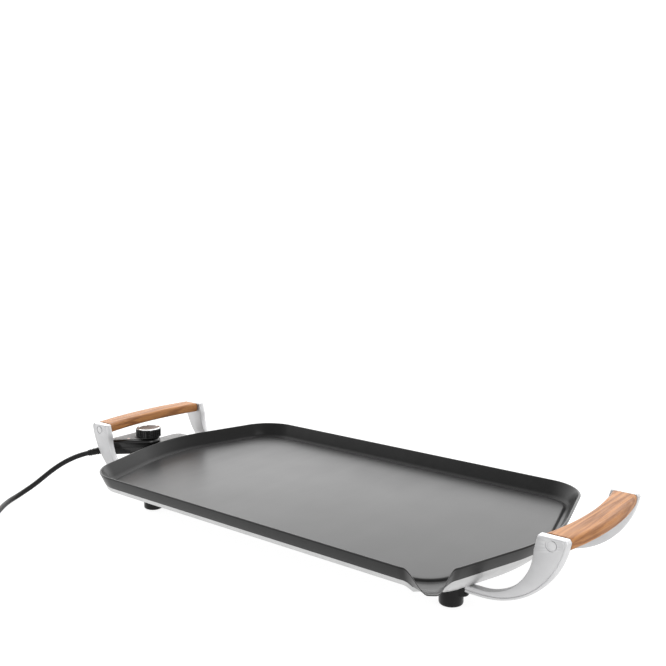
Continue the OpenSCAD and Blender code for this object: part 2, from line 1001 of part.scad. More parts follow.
griddle_plate();
heating_element();
element_clamps();
clamp_screws();
terminal_block();
terminal_pins();
probe_well();
base_pan();
heat_reflector();
controller_shelf();
shelf_screws();
pan_screws();
foot_front_left();
foot_front_right();
foot_back_left();
foot_back_right();
foot_pads();
foot_screws();
foot_nuts();
bracket_front_left();
bracket_front_right();
bracket_back_left();
bracket_back_right();
grip_left();
grip_right();
grip_screws();
screw_caps();
controller_lower_shell();
controller_upper_shell();
controller_faceplate();
controller_screws();
pilot_lens();
contact_sockets();
probe_rod();
thermostat_base();
contact_blade();
bimetal_blade();
spindle_bush();
plunger();
knob();
knob_trim_ring();
knob_dial();
knob_spindle();
strain_relief();
cord();
cord_coil();
cord_tie();
plug_body();
plug_blades();
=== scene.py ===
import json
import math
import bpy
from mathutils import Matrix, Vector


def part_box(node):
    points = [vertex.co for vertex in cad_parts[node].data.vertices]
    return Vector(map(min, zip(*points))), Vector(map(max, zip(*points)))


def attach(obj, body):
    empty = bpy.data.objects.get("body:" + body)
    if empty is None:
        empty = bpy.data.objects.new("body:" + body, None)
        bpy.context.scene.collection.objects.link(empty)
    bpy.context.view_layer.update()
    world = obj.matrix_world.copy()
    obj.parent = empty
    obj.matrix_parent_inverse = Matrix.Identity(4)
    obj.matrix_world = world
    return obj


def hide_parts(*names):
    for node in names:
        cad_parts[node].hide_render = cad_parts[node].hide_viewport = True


bl_info = {
    "name": "Electric Griddle",
    "version": (1, 0, 0),
    "blender": (4, 5, 0),
    "location": "3D View > Sidebar > Griddle",
    "description": "Builds a long electric griddle with wooden grips and a plug-in controller",
    "category": "Add Mesh",
}

import bmesh
import bpy
from bpy.props import FloatProperty, FloatVectorProperty, IntProperty, PointerProperty
from mathutils import Matrix, Vector

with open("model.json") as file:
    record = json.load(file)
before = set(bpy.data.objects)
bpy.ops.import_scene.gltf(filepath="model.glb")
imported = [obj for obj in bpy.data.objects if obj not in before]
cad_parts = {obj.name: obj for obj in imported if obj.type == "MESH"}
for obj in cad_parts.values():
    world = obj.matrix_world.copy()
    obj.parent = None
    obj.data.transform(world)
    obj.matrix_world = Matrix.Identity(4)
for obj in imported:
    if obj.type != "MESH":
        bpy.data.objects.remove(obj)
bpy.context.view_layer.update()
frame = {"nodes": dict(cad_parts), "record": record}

# Places taken from the frame, in metres
PLATE_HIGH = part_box("griddle_plate")[1]
PAN_LOW, PAN_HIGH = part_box("base_pan")
FOOT_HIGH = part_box("foot_back_left")[1]
BRACKET_LOW, BRACKET_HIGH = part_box("bracket_back_right")
CAPS_LOW, CAPS_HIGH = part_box("screw_caps")
KNOB_LOW, KNOB_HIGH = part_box("knob")
LOWER_LOW, LOWER_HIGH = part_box("controller_lower_shell")
UPPER_LOW, UPPER_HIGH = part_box("controller_upper_shell")
FACE_LOW, FACE_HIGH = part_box("controller_faceplate")
LENS_LOW, LENS_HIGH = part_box("pilot_lens")
COIL_LOW, COIL_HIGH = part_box("cord_coil")
PROBE_LOW, PROBE_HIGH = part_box("probe_rod")
PINS_LOW, PINS_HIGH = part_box("terminal_pins")

RIM_Z = PLATE_HIGH.z
HALF_L = PLATE_HIGH.x
HALF_W = PLATE_HIGH.y
FOOT_X = 0.235
FOOT_Y = 0.091
INLET_Y = (PINS_LOW.y + PINS_HIGH.y) / 2
AXIS_Z = (PROBE_LOW.z + PROBE_HIGH.z) / 2
GRIP_SCREW_X = CAPS_HIGH.x - 0.0048
GRIP_SCREW_Z = (CAPS_LOW.z + CAPS_HIGH.z) / 2
BRACKET_FACE = CAPS_HIGH.y
KNOB_CENTRE = ((KNOB_LOW.x + KNOB_HIGH.x) / 2, (KNOB_LOW.y + KNOB_HIGH.y) / 2)
LENS_CENTRE = (LENS_HIGH.x - 0.0022, (LENS_LOW.y + LENS_HIGH.y) / 2)
COIL_CENTRE = (COIL_LOW + COIL_HIGH) / 2
COIL_RADIUS = (COIL_HIGH.x - COIL_LOW.x) / 2

# Sizes that several pieces share, in metres
UP = (0, 0, 1)
HOLE = 0.0024
BRACKET_THICK = 0.009
PLUG_Z = 0.0095
LEAVE_ANGLE = math.radians(205)
FEET = [(sx * FOOT_X, sy * FOOT_Y) for sx in (-1, 1) for sy in (-1, 1)]
PAN_BOSSES = [(x, y) for x in (-0.190, 0.0, 0.190) for y in (-0.062, 0.062)]
CASE_SCREWS = [(-0.351, -0.030), (-0.353, -0.066)]
SHELF_SCREWS = [(-0.2818, 0.010), (-0.2756, 0.052)]

# The lead's route from its strain relief to the coil, in metres
ROUTE = [
    (-0.368, -0.097, 0.054), (-0.373, -0.109, 0.052), (-0.378, -0.120, 0.0485),
    (-0.384, -0.131, 0.043), (-0.391, -0.141, 0.0355), (-0.3985, -0.1515, 0.026),
    (-0.405, -0.163, 0.0165), (-0.409, -0.1755, 0.0095), (-0.409, -0.1885, 0.0052),
    (-0.4045, -0.202, 0.0037), (-0.396, -0.215, 0.0036), (-0.385, -0.2285, 0.0036),
    (-0.373, -0.242, 0.0036), (-0.3605, -0.256, 0.0036), (-0.348, -0.2705, 0.0036),
    (-0.3355, -0.2855, 0.004), (-0.324, -0.300, 0.0045),
]
RELIEF_FROM = Vector((-0.356, -0.0745, 0.057))
RELIEF_DIR = Vector((-12, -22.5, -3)).normalized()


# ---- Settings ----


def distance(name, description, default):
    """A setting that holds a length"""
    return FloatProperty(name=name, description=description, default=default, subtype="DISTANCE")


def color(name, description, default):
    """A setting that holds a colour"""
    return FloatVectorProperty(name=name, description=description, default=default, size=3, subtype="COLOR")


class PlateSettings(bpy.types.PropertyGroup):
    """Sizes of the cooking plate and the pan under it"""

    end_radius: distance("End radius", "Radius of the wide arc across each end", 0.220)
    end_angle: FloatProperty(
        name="End angle", description="Half the angle of the arc across an end",
        default=math.radians(16), subtype="ANGLE")
    corner_radius: distance("Corner radius", "Radius of the four corners", 0.056)
    corner_steps: IntProperty(name="Corner steps", description="Points round each corner", default=48)
    spout_flat: distance("Spout floor", "Half the width of the spout's floor", 0.004)
    spout_wide: distance("Spout mouth", "Half the width of the spout's mouth", 0.026)
    spout_reach: distance("Spout reach", "How far the spout's lip stands out", 0.033)
    pan_length: distance("Pan length", "Length of the pan's flat floor", 0.550)
    pan_width: distance("Pan width", "Width of the pan's flat floor", 0.264)
    sheet: distance("Sheet", "Thickness of the pan's sheet", 0.0012)


class HandleSettings(bpy.types.PropertyGroup):
    """Sizes of the brackets, grips and feet"""

    bow: distance("Bow", "How far the middle of a grip bows outwards", 0.0085)
    edge: distance("Grip edge", "Rounding of a grip's long edges", 0.0042)
    groove: distance("Groove", "Distance of the bracket's groove from its outer edge", 0.0042)
    bead: distance("Bead", "Rounding of the bracket's outer edge", 0.0030)


class ControllerSettings(bpy.types.PropertyGroup):
    """Sizes of the knob's ribs"""

    ribs: IntProperty(name="Ribs", description="Ribs round the knob", default=30)
    rib_depth: distance("Rib depth", "How far a rib stands out", 0.0009)


class FinishSettings(bpy.types.PropertyGroup):
    """Colours that a user would change"""

    coating: color("Coating", "Colour of the non-stick coating", (0.009, 0.009, 0.009))
    wood_light: color("Light wood", "Colour of the wood between its grain lines", (0.39, 0.172, 0.058))
    wood_dark: color("Dark wood", "Colour of the grain lines", (0.12, 0.038, 0.011))
    casting: color("Casting", "Colour of the brackets' cast metal", (0.63, 0.63, 0.635))


class LeadSettings(bpy.types.PropertyGroup):
    """Sizes of the mains lead"""

    diameter: distance("Diameter", "Diameter of the lead", 0.007)


class StageSettings(bpy.types.PropertyGroup):
    """Camera, floor and light"""

    lens: FloatProperty(
        name="Lens", description="Focal length of the camera", default=49.95, subtype="DISTANCE_CAMERA")
    floor: color("Floor", "Colour of the floor", (0.20, 0.20, 0.20))
    sky: FloatProperty(
        name="Front light", description="Strength of the surroundings at the front", default=0.45)
    glow: FloatProperty(
        name="Back light", description="Strength of the surroundings at the back", default=3.0)
    horizon: FloatProperty(
        name="Horizon", description="Least strength of the surroundings low down", default=1.05)
    bright_way: FloatVectorProperty(
        name="Bright side", description="Direction of the brightest surroundings",
        default=(-0.67, 0.69, 0.26), size=3, subtype="XYZ")


# ---- Materials ----


class Nodes:
    """A node tree under construction"""

    def __init__(self, tree):
        self.tree = tree

    def feed(self, socket, value):
        """Link a socket to another one, or give it a plain value"""
        if isinstance(value, bpy.types.NodeSocket):
            self.tree.links.new(value, socket)
        else:
            socket.default_value = value

    def set(self, node, values):
        for name, value in values.items():
            self.feed(node.inputs[name], value)

    def add(self, kind, values=None, **properties):
        node = self.tree.nodes.new(kind)
        for name, value in properties.items():
            setattr(node, name, value)
        self.set(node, values or {})
        return node

    def math(self, operation, a, b=0.0):
        node = self.add("ShaderNodeMath", operation=operation)
        for socket, value in zip(node.inputs, (a, b)):
            self.feed(socket, value)
        return node.outputs[0]

    def span(self, value, low, high, from_low=0.3, from_high=0.7, **properties):
        return self.add("ShaderNodeMapRange", {
            "Value": value, "From Min": from_low, "From Max": from_high, "To Min": low, "To Max": high,
        }, **properties).outputs["Result"]


class Finish(Nodes):
    """A material under construction: its node tree with a Principled shader"""

    def __init__(self, name, color, roughness, metallic=0.0):
        self.material = bpy.data.materials.new(name)
        self.material.use_nodes = True
        super().__init__(self.material.node_tree)
        self.shader = self.tree.nodes["Principled BSDF"]
        self.set(self.shader, {"Base Color": (*color, 1.0), "Roughness": roughness, "Metallic": metallic})
        self.place = self.add("ShaderNodeTexCoord").outputs["Object"]

    def scaled(self, x, y, z, turn=(0, 0, 0)):
        return self.add(
            "ShaderNodeMapping", {"Vector": self.place, "Scale": (x, y, z), "Rotation": turn}
        ).outputs["Vector"]

    def noise(self, scale, vector=None, detail=3.0, rough=0.55, distortion=0.0):
        return self.add("ShaderNodeTexNoise", {
            "Vector": vector or self.place, "Scale": scale, "Detail": detail,
            "Roughness": rough, "Distortion": distortion,
        }).outputs["Fac"]

    def mix(self, factor, a, b):
        node = self.add("ShaderNodeMix", data_type="RGBA")
        self.feed(node.inputs[0], factor)
        for socket, color in ((node.inputs[6], a), (node.inputs[7], b)):
            self.feed(socket, color if isinstance(color, bpy.types.NodeSocket) else (*color, 1.0))
        return node.outputs[2]

    def bump(self, height, strength, distance):
        self.set(self.shader, {"Normal": self.add("ShaderNodeBump", {
            "Height": height, "Strength": strength, "Distance": distance}).outputs["Normal"]})

    def painted_edge_shade(self, color, edge_shade_color, amount=0.5):
        """Lighten or darken where the shape turns sharply, as painted shade along the edges when the colour
        given is darker
        """
        point = self.add("ShaderNodeNewGeometry").outputs["Pointiness"]
        edge = self.span(point, 0.0, amount, 0.52, 0.60)
        return self.mix(edge, color, edge_shade_color)


def coating_finish(look):
    """Non-stick coating: dark, satin, with a very fine grain and faint wiping marks"""
    f = Finish("plate_coating", look.coating, 0.30, 0.0)
    broad = f.noise(9.0, detail=2.0)
    fine = f.noise(2600.0, detail=2.0)
    wiped = f.noise(60.0, f.scaled(1.0, 0.12, 1.0), detail=4.0)
    tone = f.mix(f.span(wiped, 0.0, 1.0), look.coating, [c * 1.5 for c in look.coating])
    f.set(f.shader, {
        "Base Color": f.mix(f.span(fine, 0.0, 0.35), tone, [c * 2.4 for c in look.coating]),
        "Roughness": f.math("ADD", f.span(broad, 0.27, 0.31), f.span(wiped, 0.0, 0.03)),
        "Specular IOR Level": 0.19,
    })
    f.bump(fine, 0.12, 0.00005)
    return f.material


def wood_finish(look):
    """Oiled hardwood with straight grain along the grip"""
    f = Finish("grip_wood", look.wood_light, 0.42, 0.0)
    along = f.scaled(1.0, 0.045, 1.0)
    rings = f.add("ShaderNodeTexWave", {
        "Vector": f.scaled(1.0, 0.05, 1.6, (0.0, 0.25, 0.03)), "Scale": 34.0, "Distortion": 11.0,
        "Detail": 5.0, "Detail Scale": 2.2,
    }, bands_direction="X").outputs["Fac"]
    fibre = f.noise(620.0, along, detail=6.0, rough=0.7)
    streak = f.noise(95.0, along, detail=4.0, distortion=0.5)
    patch = f.noise(24.0, f.scaled(1.0, 0.4, 1.0), detail=2.0)
    color = f.mix(f.span(rings, 0.0, 0.7, 0.30, 1.0), look.wood_light, look.wood_dark)
    color = f.mix(f.span(streak, 0.0, 0.75, 0.42, 0.66), color, [c * 0.62 for c in look.wood_light])
    color = f.mix(f.span(patch, 0.0, 0.45, 0.45, 0.70), color, (0.43, 0.205, 0.085))
    color = f.mix(f.span(fibre, 0.0, 0.55, 0.52, 0.72), color, look.wood_dark)
    f.set(f.shader, {"Base Color": color, "Roughness": f.span(fibre, 0.42, 0.60), "Specular IOR Level": 0.2})
    f.bump(fibre, 0.35, 0.00018)
    return f.material


def cast_finish(look):
    """Finely blasted cast aluminium, with painted shade darkening its sharp edges"""
    f = Finish("cast_silver", look.casting, 0.46, 0.85)
    grain = f.noise(1500.0, detail=2.0)
    cloud = f.noise(40.0, detail=3.0)
    tone = f.mix(f.span(cloud, 0.0, 1.0), look.casting, [c * 0.93 for c in look.casting])
    # Painted shade: the sharp edges are darkened towards dark grey, standing in for how they fall into shade
    f.set(f.shader, {
        "Base Color": f.painted_edge_shade(tone, (0.28, 0.28, 0.29), 0.6), "Roughness": f.span(cloud, 0.42, 0.50)})
    f.bump(grain, 0.3, 0.00010)
    return f.material


def metal_finish(name, color, roughness, metallic=1.0, brushed=(1.0, 1.0, 1.0), scale=700.0, depth=0.00004,
                 gloss=0.5):
    """Metal with fine marks, drawn out along one way where it is brushed"""
    f = Finish(name, color, roughness, metallic)
    marks = f.noise(scale, f.scaled(*brushed), detail=4.0)
    stain = f.noise(55.0, detail=3.0)
    f.set(f.shader, {
        "Base Color": f.mix(f.span(stain, 0.0, 0.6), color, [c * 0.86 for c in color]),
        "Roughness": f.math("ADD", f.span(marks, roughness * 0.8, roughness * 1.2), f.span(stain, 0.0, 0.05)),
        "Specular IOR Level": gloss,
    })
    f.bump(marks, 0.25, depth)
    return f.material


def plastic_finish(name, color, roughness, grain=900.0, depth=0.00006, coat=0.0, gloss=0.5):
    """Moulded plastic or rubber: an even colour, faint clouds in its gloss and a moulded grain"""
    f = Finish(name, color, roughness, 0.0)
    fine = f.noise(grain, detail=2.0)
    cloud = f.noise(70.0, detail=3.0)
    f.set(f.shader, {
        "Base Color": f.mix(f.span(cloud, 0.0, 0.5), color, [c * 1.35 + 0.001 for c in color]),
        "Roughness": f.math("ADD", f.span(cloud, roughness * 0.9, roughness * 1.15), f.span(fine, 0.0, 0.04)),
        "Specular IOR Level": gloss,
        "Coat Weight": coat,
        "Coat Roughness": 0.08,
    })
    f.bump(fine, 0.2, depth)
    return f.material


ALONG_X = (0.08, 1.0, 1.0)
ROLLED = (0.1, 1.0, 1.0)

METALS = {
    "pan_silver": {"color": (0.55, 0.55, 0.55), "roughness": 0.34, "metallic": 0.7, "brushed": ALONG_X},
    "element_sheath": {"color": (0.10, 0.095, 0.09), "roughness": 0.55, "metallic": 0.6},
    "zinc_steel": {"color": (0.62, 0.62, 0.63), "roughness": 0.3},
    "nickel_pins": {"color": (0.68, 0.66, 0.61), "roughness": 0.18},
    "bright_aluminium": {"color": (0.80, 0.80, 0.81), "roughness": 0.22},
    "shelf_grey": {
        "color": (0.21, 0.21, 0.21), "roughness": 0.5, "metallic": 0.1, "brushed": ROLLED, "gloss": 0.15},
    "faceplate_silver": {
        "color": (0.27, 0.27, 0.27), "roughness": 0.5, "metallic": 0.15, "brushed": ROLLED, "gloss": 0.15},
    "contact_brass": {"color": (0.62, 0.43, 0.14), "roughness": 0.3},
    "bimetal": {"color": (0.42, 0.34, 0.18), "roughness": 0.4},
    "trim_chrome": {"color": (0.86, 0.86, 0.86), "roughness": 0.07, "scale": 500.0, "depth": 0.00001},
}

PLASTICS = {
    "steatite": {"color": (0.78, 0.74, 0.66), "roughness": 0.65, "grain": 400.0},
    "pad_rubber": {"color": (0.020, 0.020, 0.020), "roughness": 0.75, "grain": 700.0, "depth": 0.0001},
    "foot_black": {
        "color": (0.005, 0.005, 0.005), "roughness": 0.30, "grain": 1100.0, "depth": 0.00008, "gloss": 0.2},
    "controller_black": {"color": (0.003, 0.003, 0.003), "roughness": 0.14, "depth": 0.00002},
    "pilot_lens": {
        "color": (0.80, 0.62, 0.58), "roughness": 0.10, "grain": 500.0, "depth": 0.00001, "coat": 0.5},
    "knob_black": {"color": (0.005, 0.005, 0.005), "roughness": 0.2, "depth": 0.00002},
    "dial_pale": {
        "color": (0.12, 0.098, 0.090), "roughness": 0.3, "grain": 800.0, "depth": 0.00002, "gloss": 0.2},
    "lead_black": {"color": (0.004, 0.004, 0.004), "roughness": 0.45, "gloss": 0.25},
    "tie_black": {"color": (0.03, 0.03, 0.03), "roughness": 0.6, "grain": 500.0, "depth": 0.0001},
}


def make_finishes(look):
    """Every material slot of the record, by name"""
    finishes = {
        "plate_coating": coating_finish(look),
        "grip_wood": wood_finish(look),
        "cast_silver": cast_finish(look),
    }
    for name, values in METALS.items():
        finishes[name] = metal_finish(name, **values)
    for name, values in PLASTICS.items():
        finishes[name] = plastic_finish(name, **values)
    return finishes


FINISH = {}


# ---- Mesh helpers ----


def link(name, data):
    """Put new data into the scene as an object"""
    obj = bpy.data.objects.new(name, data)
    bpy.context.scene.collection.objects.link(obj)
    return obj


def to_object(name, bm, finish, sharp=32.0):
    """Turn a bmesh into an object with outward faces, smooth but for its sharp edges"""
    bmesh.ops.remove_doubles(bm, verts=bm.verts, dist=0.000002)
    bmesh.ops.recalc_face_normals(bm, faces=bm.faces)
    shade(bm, sharp)
    mesh = bpy.data.meshes.new(name)
    bm.to_mesh(mesh)
    bm.free()
    mesh.materials.append(FINISH[finish])
    return link(name, mesh)


def shade(bm, sharp):
    """Smooth every face, and mark the edges that turn by more than an angle as sharp"""
    for face in bm.faces:
        face.smooth = True
    for edge in bm.edges:
        edge.smooth = len(edge.link_faces) == 2 and edge.calc_face_angle(0.0) < math.radians(sharp)


def reshade(obj, sharp):
    """Shade a finished object smooth but for its sharp edges, all in its first material"""
    bm = bmesh.new()
    bm.from_mesh(obj.data)
    for face in bm.faces:
        face.material_index = 0
    shade(bm, sharp)
    bm.to_mesh(obj.data)
    bm.free()


def skin(bm, rings, caps=True):
    """Skin a stack of rings that all have the same number of points"""
    rows = [[bm.verts.new(p) for p in ring] for ring in rings]
    count = len(rows[0])
    for low, high in zip(rows, rows[1:]):
        for i in range(count):
            j = (i + 1) % count
            bm.faces.new((low[i], low[j], high[j], high[i]))
    if caps:
        bm.faces.new(reversed(rows[0]))
        bm.faces.new(rows[-1])


def skinned(name, stacks, finish, sharp=32.0):
    """An object from stacks of rings, each closed by a cap at both ends"""
    bm = bmesh.new()
    for rings in stacks:
        skin(bm, rings)
    return to_object(name, bm, finish, sharp)


def hooped(name, stacks, finish, sharp):
    """An object from stacks of rings that run round to their own start, so with no caps"""
    bm = bmesh.new()
    for rings in stacks:
        skin(bm, rings + [rings[0]], caps=False)
    return to_object(name, bm, finish, sharp)


def rounded(points, radii, steps=5):
    """Round the inner corners of an open line of points, each a tuple of any length"""
    line = [Vector(points[0])]
    for before, corner, after, radius in zip(points, points[1:], points[2:], radii):
        before, corner, after = Vector(before), Vector(corner), Vector(after)
        back, on = before - corner, after - corner
        start = corner + back * min(0.5, radius / back.length)
        end = corner + on * min(0.5, radius / on.length)
        for k in range(steps + 1):
            t = k / steps
            line.append(start * (1 - t) ** 2 + corner * (2 * t * (1 - t)) + end * t ** 2)
    line.append(Vector(points[-1]))
    return line


def turned(centre, axis, profile, steps=64):
    """Rings of a turned shape: profile holds (radius, distance along the axis)"""
    axis = Vector(axis).normalized()
    side = axis.orthogonal().normalized()
    other = axis.cross(side)
    centre = Vector(centre)
    rings = []
    for radius, along in profile:
        rings.append([
            centre + axis * along
            + (side * math.cos(a) + other * math.sin(a)) * max(radius, 0.00001)
            for a in (2 * math.pi * k / steps for k in range(steps))
        ])
    return rings


def rod(place, radius, length, steps=32, axis=UP):
    """Rings of a plain round bar that starts at a place"""
    return turned(place, axis, [(radius, 0), (radius, length)], steps)


def soft_ends(ring, low, high, edge, steps):
    """What ring(inset, height) gives from low to high, drawn in round both ends' rims"""
    bends = [(edge * (1 - math.sin(a)), edge * (1 - math.cos(a)))
             for a in (math.pi / 2 * k / steps for k in range(steps + 1))]
    return ([ring(inset, low + rise) for inset, rise in bends]
            + [ring(inset, high - rise) for inset, rise in reversed(bends)])


def arc_profile(radius, height, edge, steps=5):
    """Profile of a disc with rounded rims, for turned()"""
    return soft_ends(lambda inset, z: (radius - inset, z), 0.0, height, edge, steps)


def soft_rectangle(half_x, half_y, radius, steps):
    """Points round a rectangle with rounded corners, about its middle"""
    points = []
    for sx, sy, start in ((1, 1, 0), (-1, 1, 90), (-1, -1, 180), (1, -1, 270)):
        for k in range(steps + 1):
            a = math.radians(start + 90 * k / steps)
            points.append((sx * (half_x - radius) + radius * math.cos(a),
                           sy * (half_y - radius) + radius * math.sin(a)))
    return points


def box_rings(low, high, edge, steps=4):
    """Rings of a box with rounded corners and rims"""
    low, high = Vector(low), Vector(high)
    middle, half = (low + high) / 2, (high - low) / 2

    def ring(inset, z):
        radius = max(edge - inset, 0.00005)
        return [Vector((middle.x + x, middle.y + y, z))
                for x, y in soft_rectangle(half.x - inset, half.y - inset, radius, steps)]

    return soft_ends(ring, low.z, high.z, edge, steps)


def bake_modifiers(obj):
    """Replace an object's mesh by what its modifiers make of it"""
    graph = bpy.context.evaluated_depsgraph_get()
    mesh = bpy.data.meshes.new_from_object(obj.evaluated_get(graph), depsgraph=graph)
    obj.modifiers.clear()
    obj.data = mesh
    mesh.name = obj.name
    return obj


def carve(obj, add=(), cut=(), sharp=32.0):
    """Join closed stacks of rings to a solid, then cut others out of it"""
    tools = []
    for operation, stacks in (("UNION", add), ("DIFFERENCE", cut)):
        for stack in stacks:
            bm = bmesh.new()
            skin(bm, stack)
            bmesh.ops.recalc_face_normals(bm, faces=bm.faces)
            mesh = bpy.data.meshes.new("tool")
            bm.to_mesh(mesh)
            bm.free()
            tool = link("tool", mesh)
            modifier = obj.modifiers.new("carve", "BOOLEAN")
            modifier.operation = operation
            modifier.solver = "EXACT"
            modifier.object = tool
            tools.append(tool)
    finish = obj.data.materials[0]
    bake_modifiers(obj)
    obj.data.materials.clear()
    obj.data.materials.append(finish)
    for tool in tools:
        bpy.data.objects.remove(tool)
    reshade(obj, sharp)
    return obj


def settle(obj, body, finish, *nodes):
    """Fix a finished piece to its body and hide the frame nodes that it stands for"""
    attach(obj, body)
    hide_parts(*nodes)
    return obj


# ---- Geometry node trees ----


class Tree(Nodes):
    """A geometry node tree under construction"""

    def __init__(self, name, takes_mesh=True):
        super().__init__(bpy.data.node_groups.new(name, "GeometryNodeTree"))
        if takes_mesh:
            self.tree.interface.new_socket("Geometry", in_out="INPUT", socket_type="NodeSocketGeometry")
        self.tree.interface.new_socket("Geometry", in_out="OUTPUT", socket_type="NodeSocketGeometry")
        self.start = self.tree.nodes.new("NodeGroupInput")
        self.end = self.tree.nodes.new("NodeGroupOutput")

    def input(self, name, kind, default=None):
        socket = self.tree.interface.new_socket(name, in_out="INPUT", socket_type="NodeSocket" + kind)
        if default is not None:
            socket.default_value = default
        return self.start.outputs[name]

    def finish(self, geometry):
        real = self.add("GeometryNodeRealizeInstances", {"Geometry": geometry}).outputs[0]
        coated = self.add("GeometryNodeSetMaterial", {
            "Geometry": real, "Material": self.start.outputs["Material"]}).outputs[0]
        self.tree.links.new(coated, self.end.inputs[0])
        return self.tree


def grow(obj, tree, **values):
    """Run a geometry node tree on an object, with its inputs set by name, and keep the plain mesh"""
    modifier = obj.modifiers.new(tree.name, "NODES")
    modifier.node_group = tree
    for item in tree.interface.items_tree:
        if item.in_out == "INPUT" and item.name in values:
            modifier[item.identifier] = values[item.name]
    bake_modifiers(obj)
    return obj


def bowed_bar_tree():
    """A bar with a rounded section, bowed sideways between two flat ends"""
    t = Tree("bowed_bar", takes_mesh=False)
    length = t.input("Length", "Float", 0.16)
    width = t.input("Width", "Float", 0.028)
    thickness = t.input("Thickness", "Float", 0.013)
    edge = t.input("Edge", "Float", 0.004)
    bow = t.input("Bow", "Float", 0.008)
    middle = t.input("Middle", "Vector")
    t.input("Material", "Material")
    half = t.math("MULTIPLY", length, 0.5)
    low = t.add("ShaderNodeCombineXYZ", {"Y": t.math("MULTIPLY", half, -1.0)}).outputs[0]
    high = t.add("ShaderNodeCombineXYZ", {"Y": half}).outputs[0]
    line = t.add("GeometryNodeCurvePrimitiveLine", {"Start": low, "End": high}).outputs[0]
    line = t.add("GeometryNodeResampleCurve", {"Curve": line, "Count": 57}).outputs[0]
    section = t.add("GeometryNodeCurvePrimitiveQuadrilateral", {
        "Width": width, "Height": thickness}).outputs[0]
    section = t.add("GeometryNodeFilletCurve", {
        "Curve": section, "Count": 7, "Radius": edge}, mode="POLY").outputs[0]
    bar = t.add("GeometryNodeCurveToMesh", {
        "Curve": line, "Profile Curve": section, "Fill Caps": True}).outputs[0]
    place = t.add("GeometryNodeInputPosition").outputs[0]
    parts = t.add("ShaderNodeSeparateXYZ", {"Vector": place})
    share = t.math("DIVIDE", parts.outputs["Y"], half)
    out = t.math("MULTIPLY", bow, t.math("SUBTRACT", 1.0, t.math("MULTIPLY", share, share)))
    shift = t.add("ShaderNodeCombineXYZ", {"X": out}).outputs[0]
    bar = t.add("GeometryNodeSetPosition", {"Geometry": bar, "Offset": shift}).outputs[0]
    bar = t.add("GeometryNodeSetPosition", {"Geometry": bar, "Offset": middle}).outputs[0]
    return t.finish(bar)


def ribs_round_tree():
    """Adds upright ribs round a knob"""
    t = Tree("ribs_round")
    count = t.input("Count", "Int", 30)
    radius = t.input("Radius", "Float", 0.018)
    size = t.input("Rib Radius", "Float", 0.001)
    height = t.input("Height", "Float", 0.01)
    centre = t.input("Centre", "Vector")
    t.input("Material", "Material")
    circle = t.add("GeometryNodeMeshCircle", {"Vertices": count, "Radius": radius}).outputs[0]
    rib = t.add("GeometryNodeMeshCylinder", {
        "Vertices": 12, "Radius": size, "Depth": height}).outputs["Mesh"]
    ribs = t.add("GeometryNodeInstanceOnPoints", {"Points": circle, "Instance": rib}).outputs[0]
    ribs = t.add("GeometryNodeTransform", {"Geometry": ribs, "Translation": centre}).outputs[0]
    both = t.add("GeometryNodeJoinGeometry")
    t.tree.links.new(t.start.outputs["Geometry"], both.inputs[0])
    t.tree.links.new(ribs, both.inputs[0])
    return t.finish(both.outputs[0])


def copies_tree():
    """A copy of one shape at each point of a mesh"""
    t = Tree("copies_at_points")
    shape = t.input("Shape", "Object")
    t.input("Material", "Material")
    info = t.add("GeometryNodeObjectInfo", {"Object": shape})
    copies = t.add("GeometryNodeInstanceOnPoints", {
        "Points": t.start.outputs["Geometry"], "Instance": info.outputs["Geometry"]}).outputs[0]
    return t.finish(copies)


# ---- Outlines ----


def arc(x, y, radius, start, end, steps):
    """Points along an arc, both ends included"""
    return [(x + radius * math.cos(start + (end - start) * k / steps),
             y + radius * math.sin(start + (end - start) * k / steps)) for k in range(steps + 1)]


def outline(half_l, half_w, end_radius, corner_radius, plate):
    """Anticlockwise outline: a wide arc across each end, a straight slant, a corner, a straight side"""
    angle = plate.end_angle
    x0 = half_l - end_radius * (1 - math.cos(angle))
    y0 = end_radius * math.sin(angle)
    cy = half_w - corner_radius
    cx = x0 - (corner_radius + (cy - y0) * math.sin(angle)) / math.cos(angle)
    quarter = arc(half_l - end_radius, 0, end_radius, 0, angle, 16)
    quarter += arc(cx, cy, corner_radius, angle, math.pi / 2, plate.corner_steps)
    top = quarter + [(-x, y) for x, y in reversed(quarter)]
    return top + [(-x, -y) for x, y in quarter[1:]] + [(x, -y) for x, y in list(reversed(quarter))[:-1]]


def drawn_in(inset, plate):
    """The plate's outline, moved inwards"""
    return outline(
        HALF_L - inset, HALF_W - inset, plate.end_radius - inset, plate.corner_radius - inset, plate)


def spout_frame(plate):
    """The middle of the spout's corner and the way the spout points"""
    angle = -(math.pi / 2 + plate.end_angle) / 2
    quarter = drawn_in(0.0, plate)[:17 + plate.corner_steps + 1]
    x, y = quarter[17 + plate.corner_steps // 2]
    return Vector((x, -y)), Vector((math.cos(angle), math.sin(angle)))


def spout_share(point, plate, spout):
    """How strongly a point of the outline belongs to the spout, from 0 to 1"""
    middle, way = spout
    if point[0] < 0 or point[1] > 0:
        return 0.0
    across = abs((point[0] - middle.x) * -way.y + (point[1] - middle.y) * way.x)
    t = min(max((across - plate.spout_flat) / (plate.spout_wide - plate.spout_flat), 0.0), 1.0)
    return 1 - t * t * (3 - 2 * t)


def plate_ring(profile_point, plate, spout):
    """One ring of the plate: the drawn-in outline, pulled out and down at the spout"""
    inset, z, out, drop = profile_point
    way = spout[1]
    ring = []
    for p in drawn_in(inset, plate):
        s = spout_share(p, plate, spout)
        ring.append(Vector((p[0] + s * out * way.x, p[1] + s * out * way.y, z - s * drop)))
    return ring


def bezier(a, b, c, t):
    """A point of a quadratic curve"""
    return a * (1 - t) ** 2 + b * (2 * t * (1 - t)) + c * t ** 2


# ---- Plate and pan ----


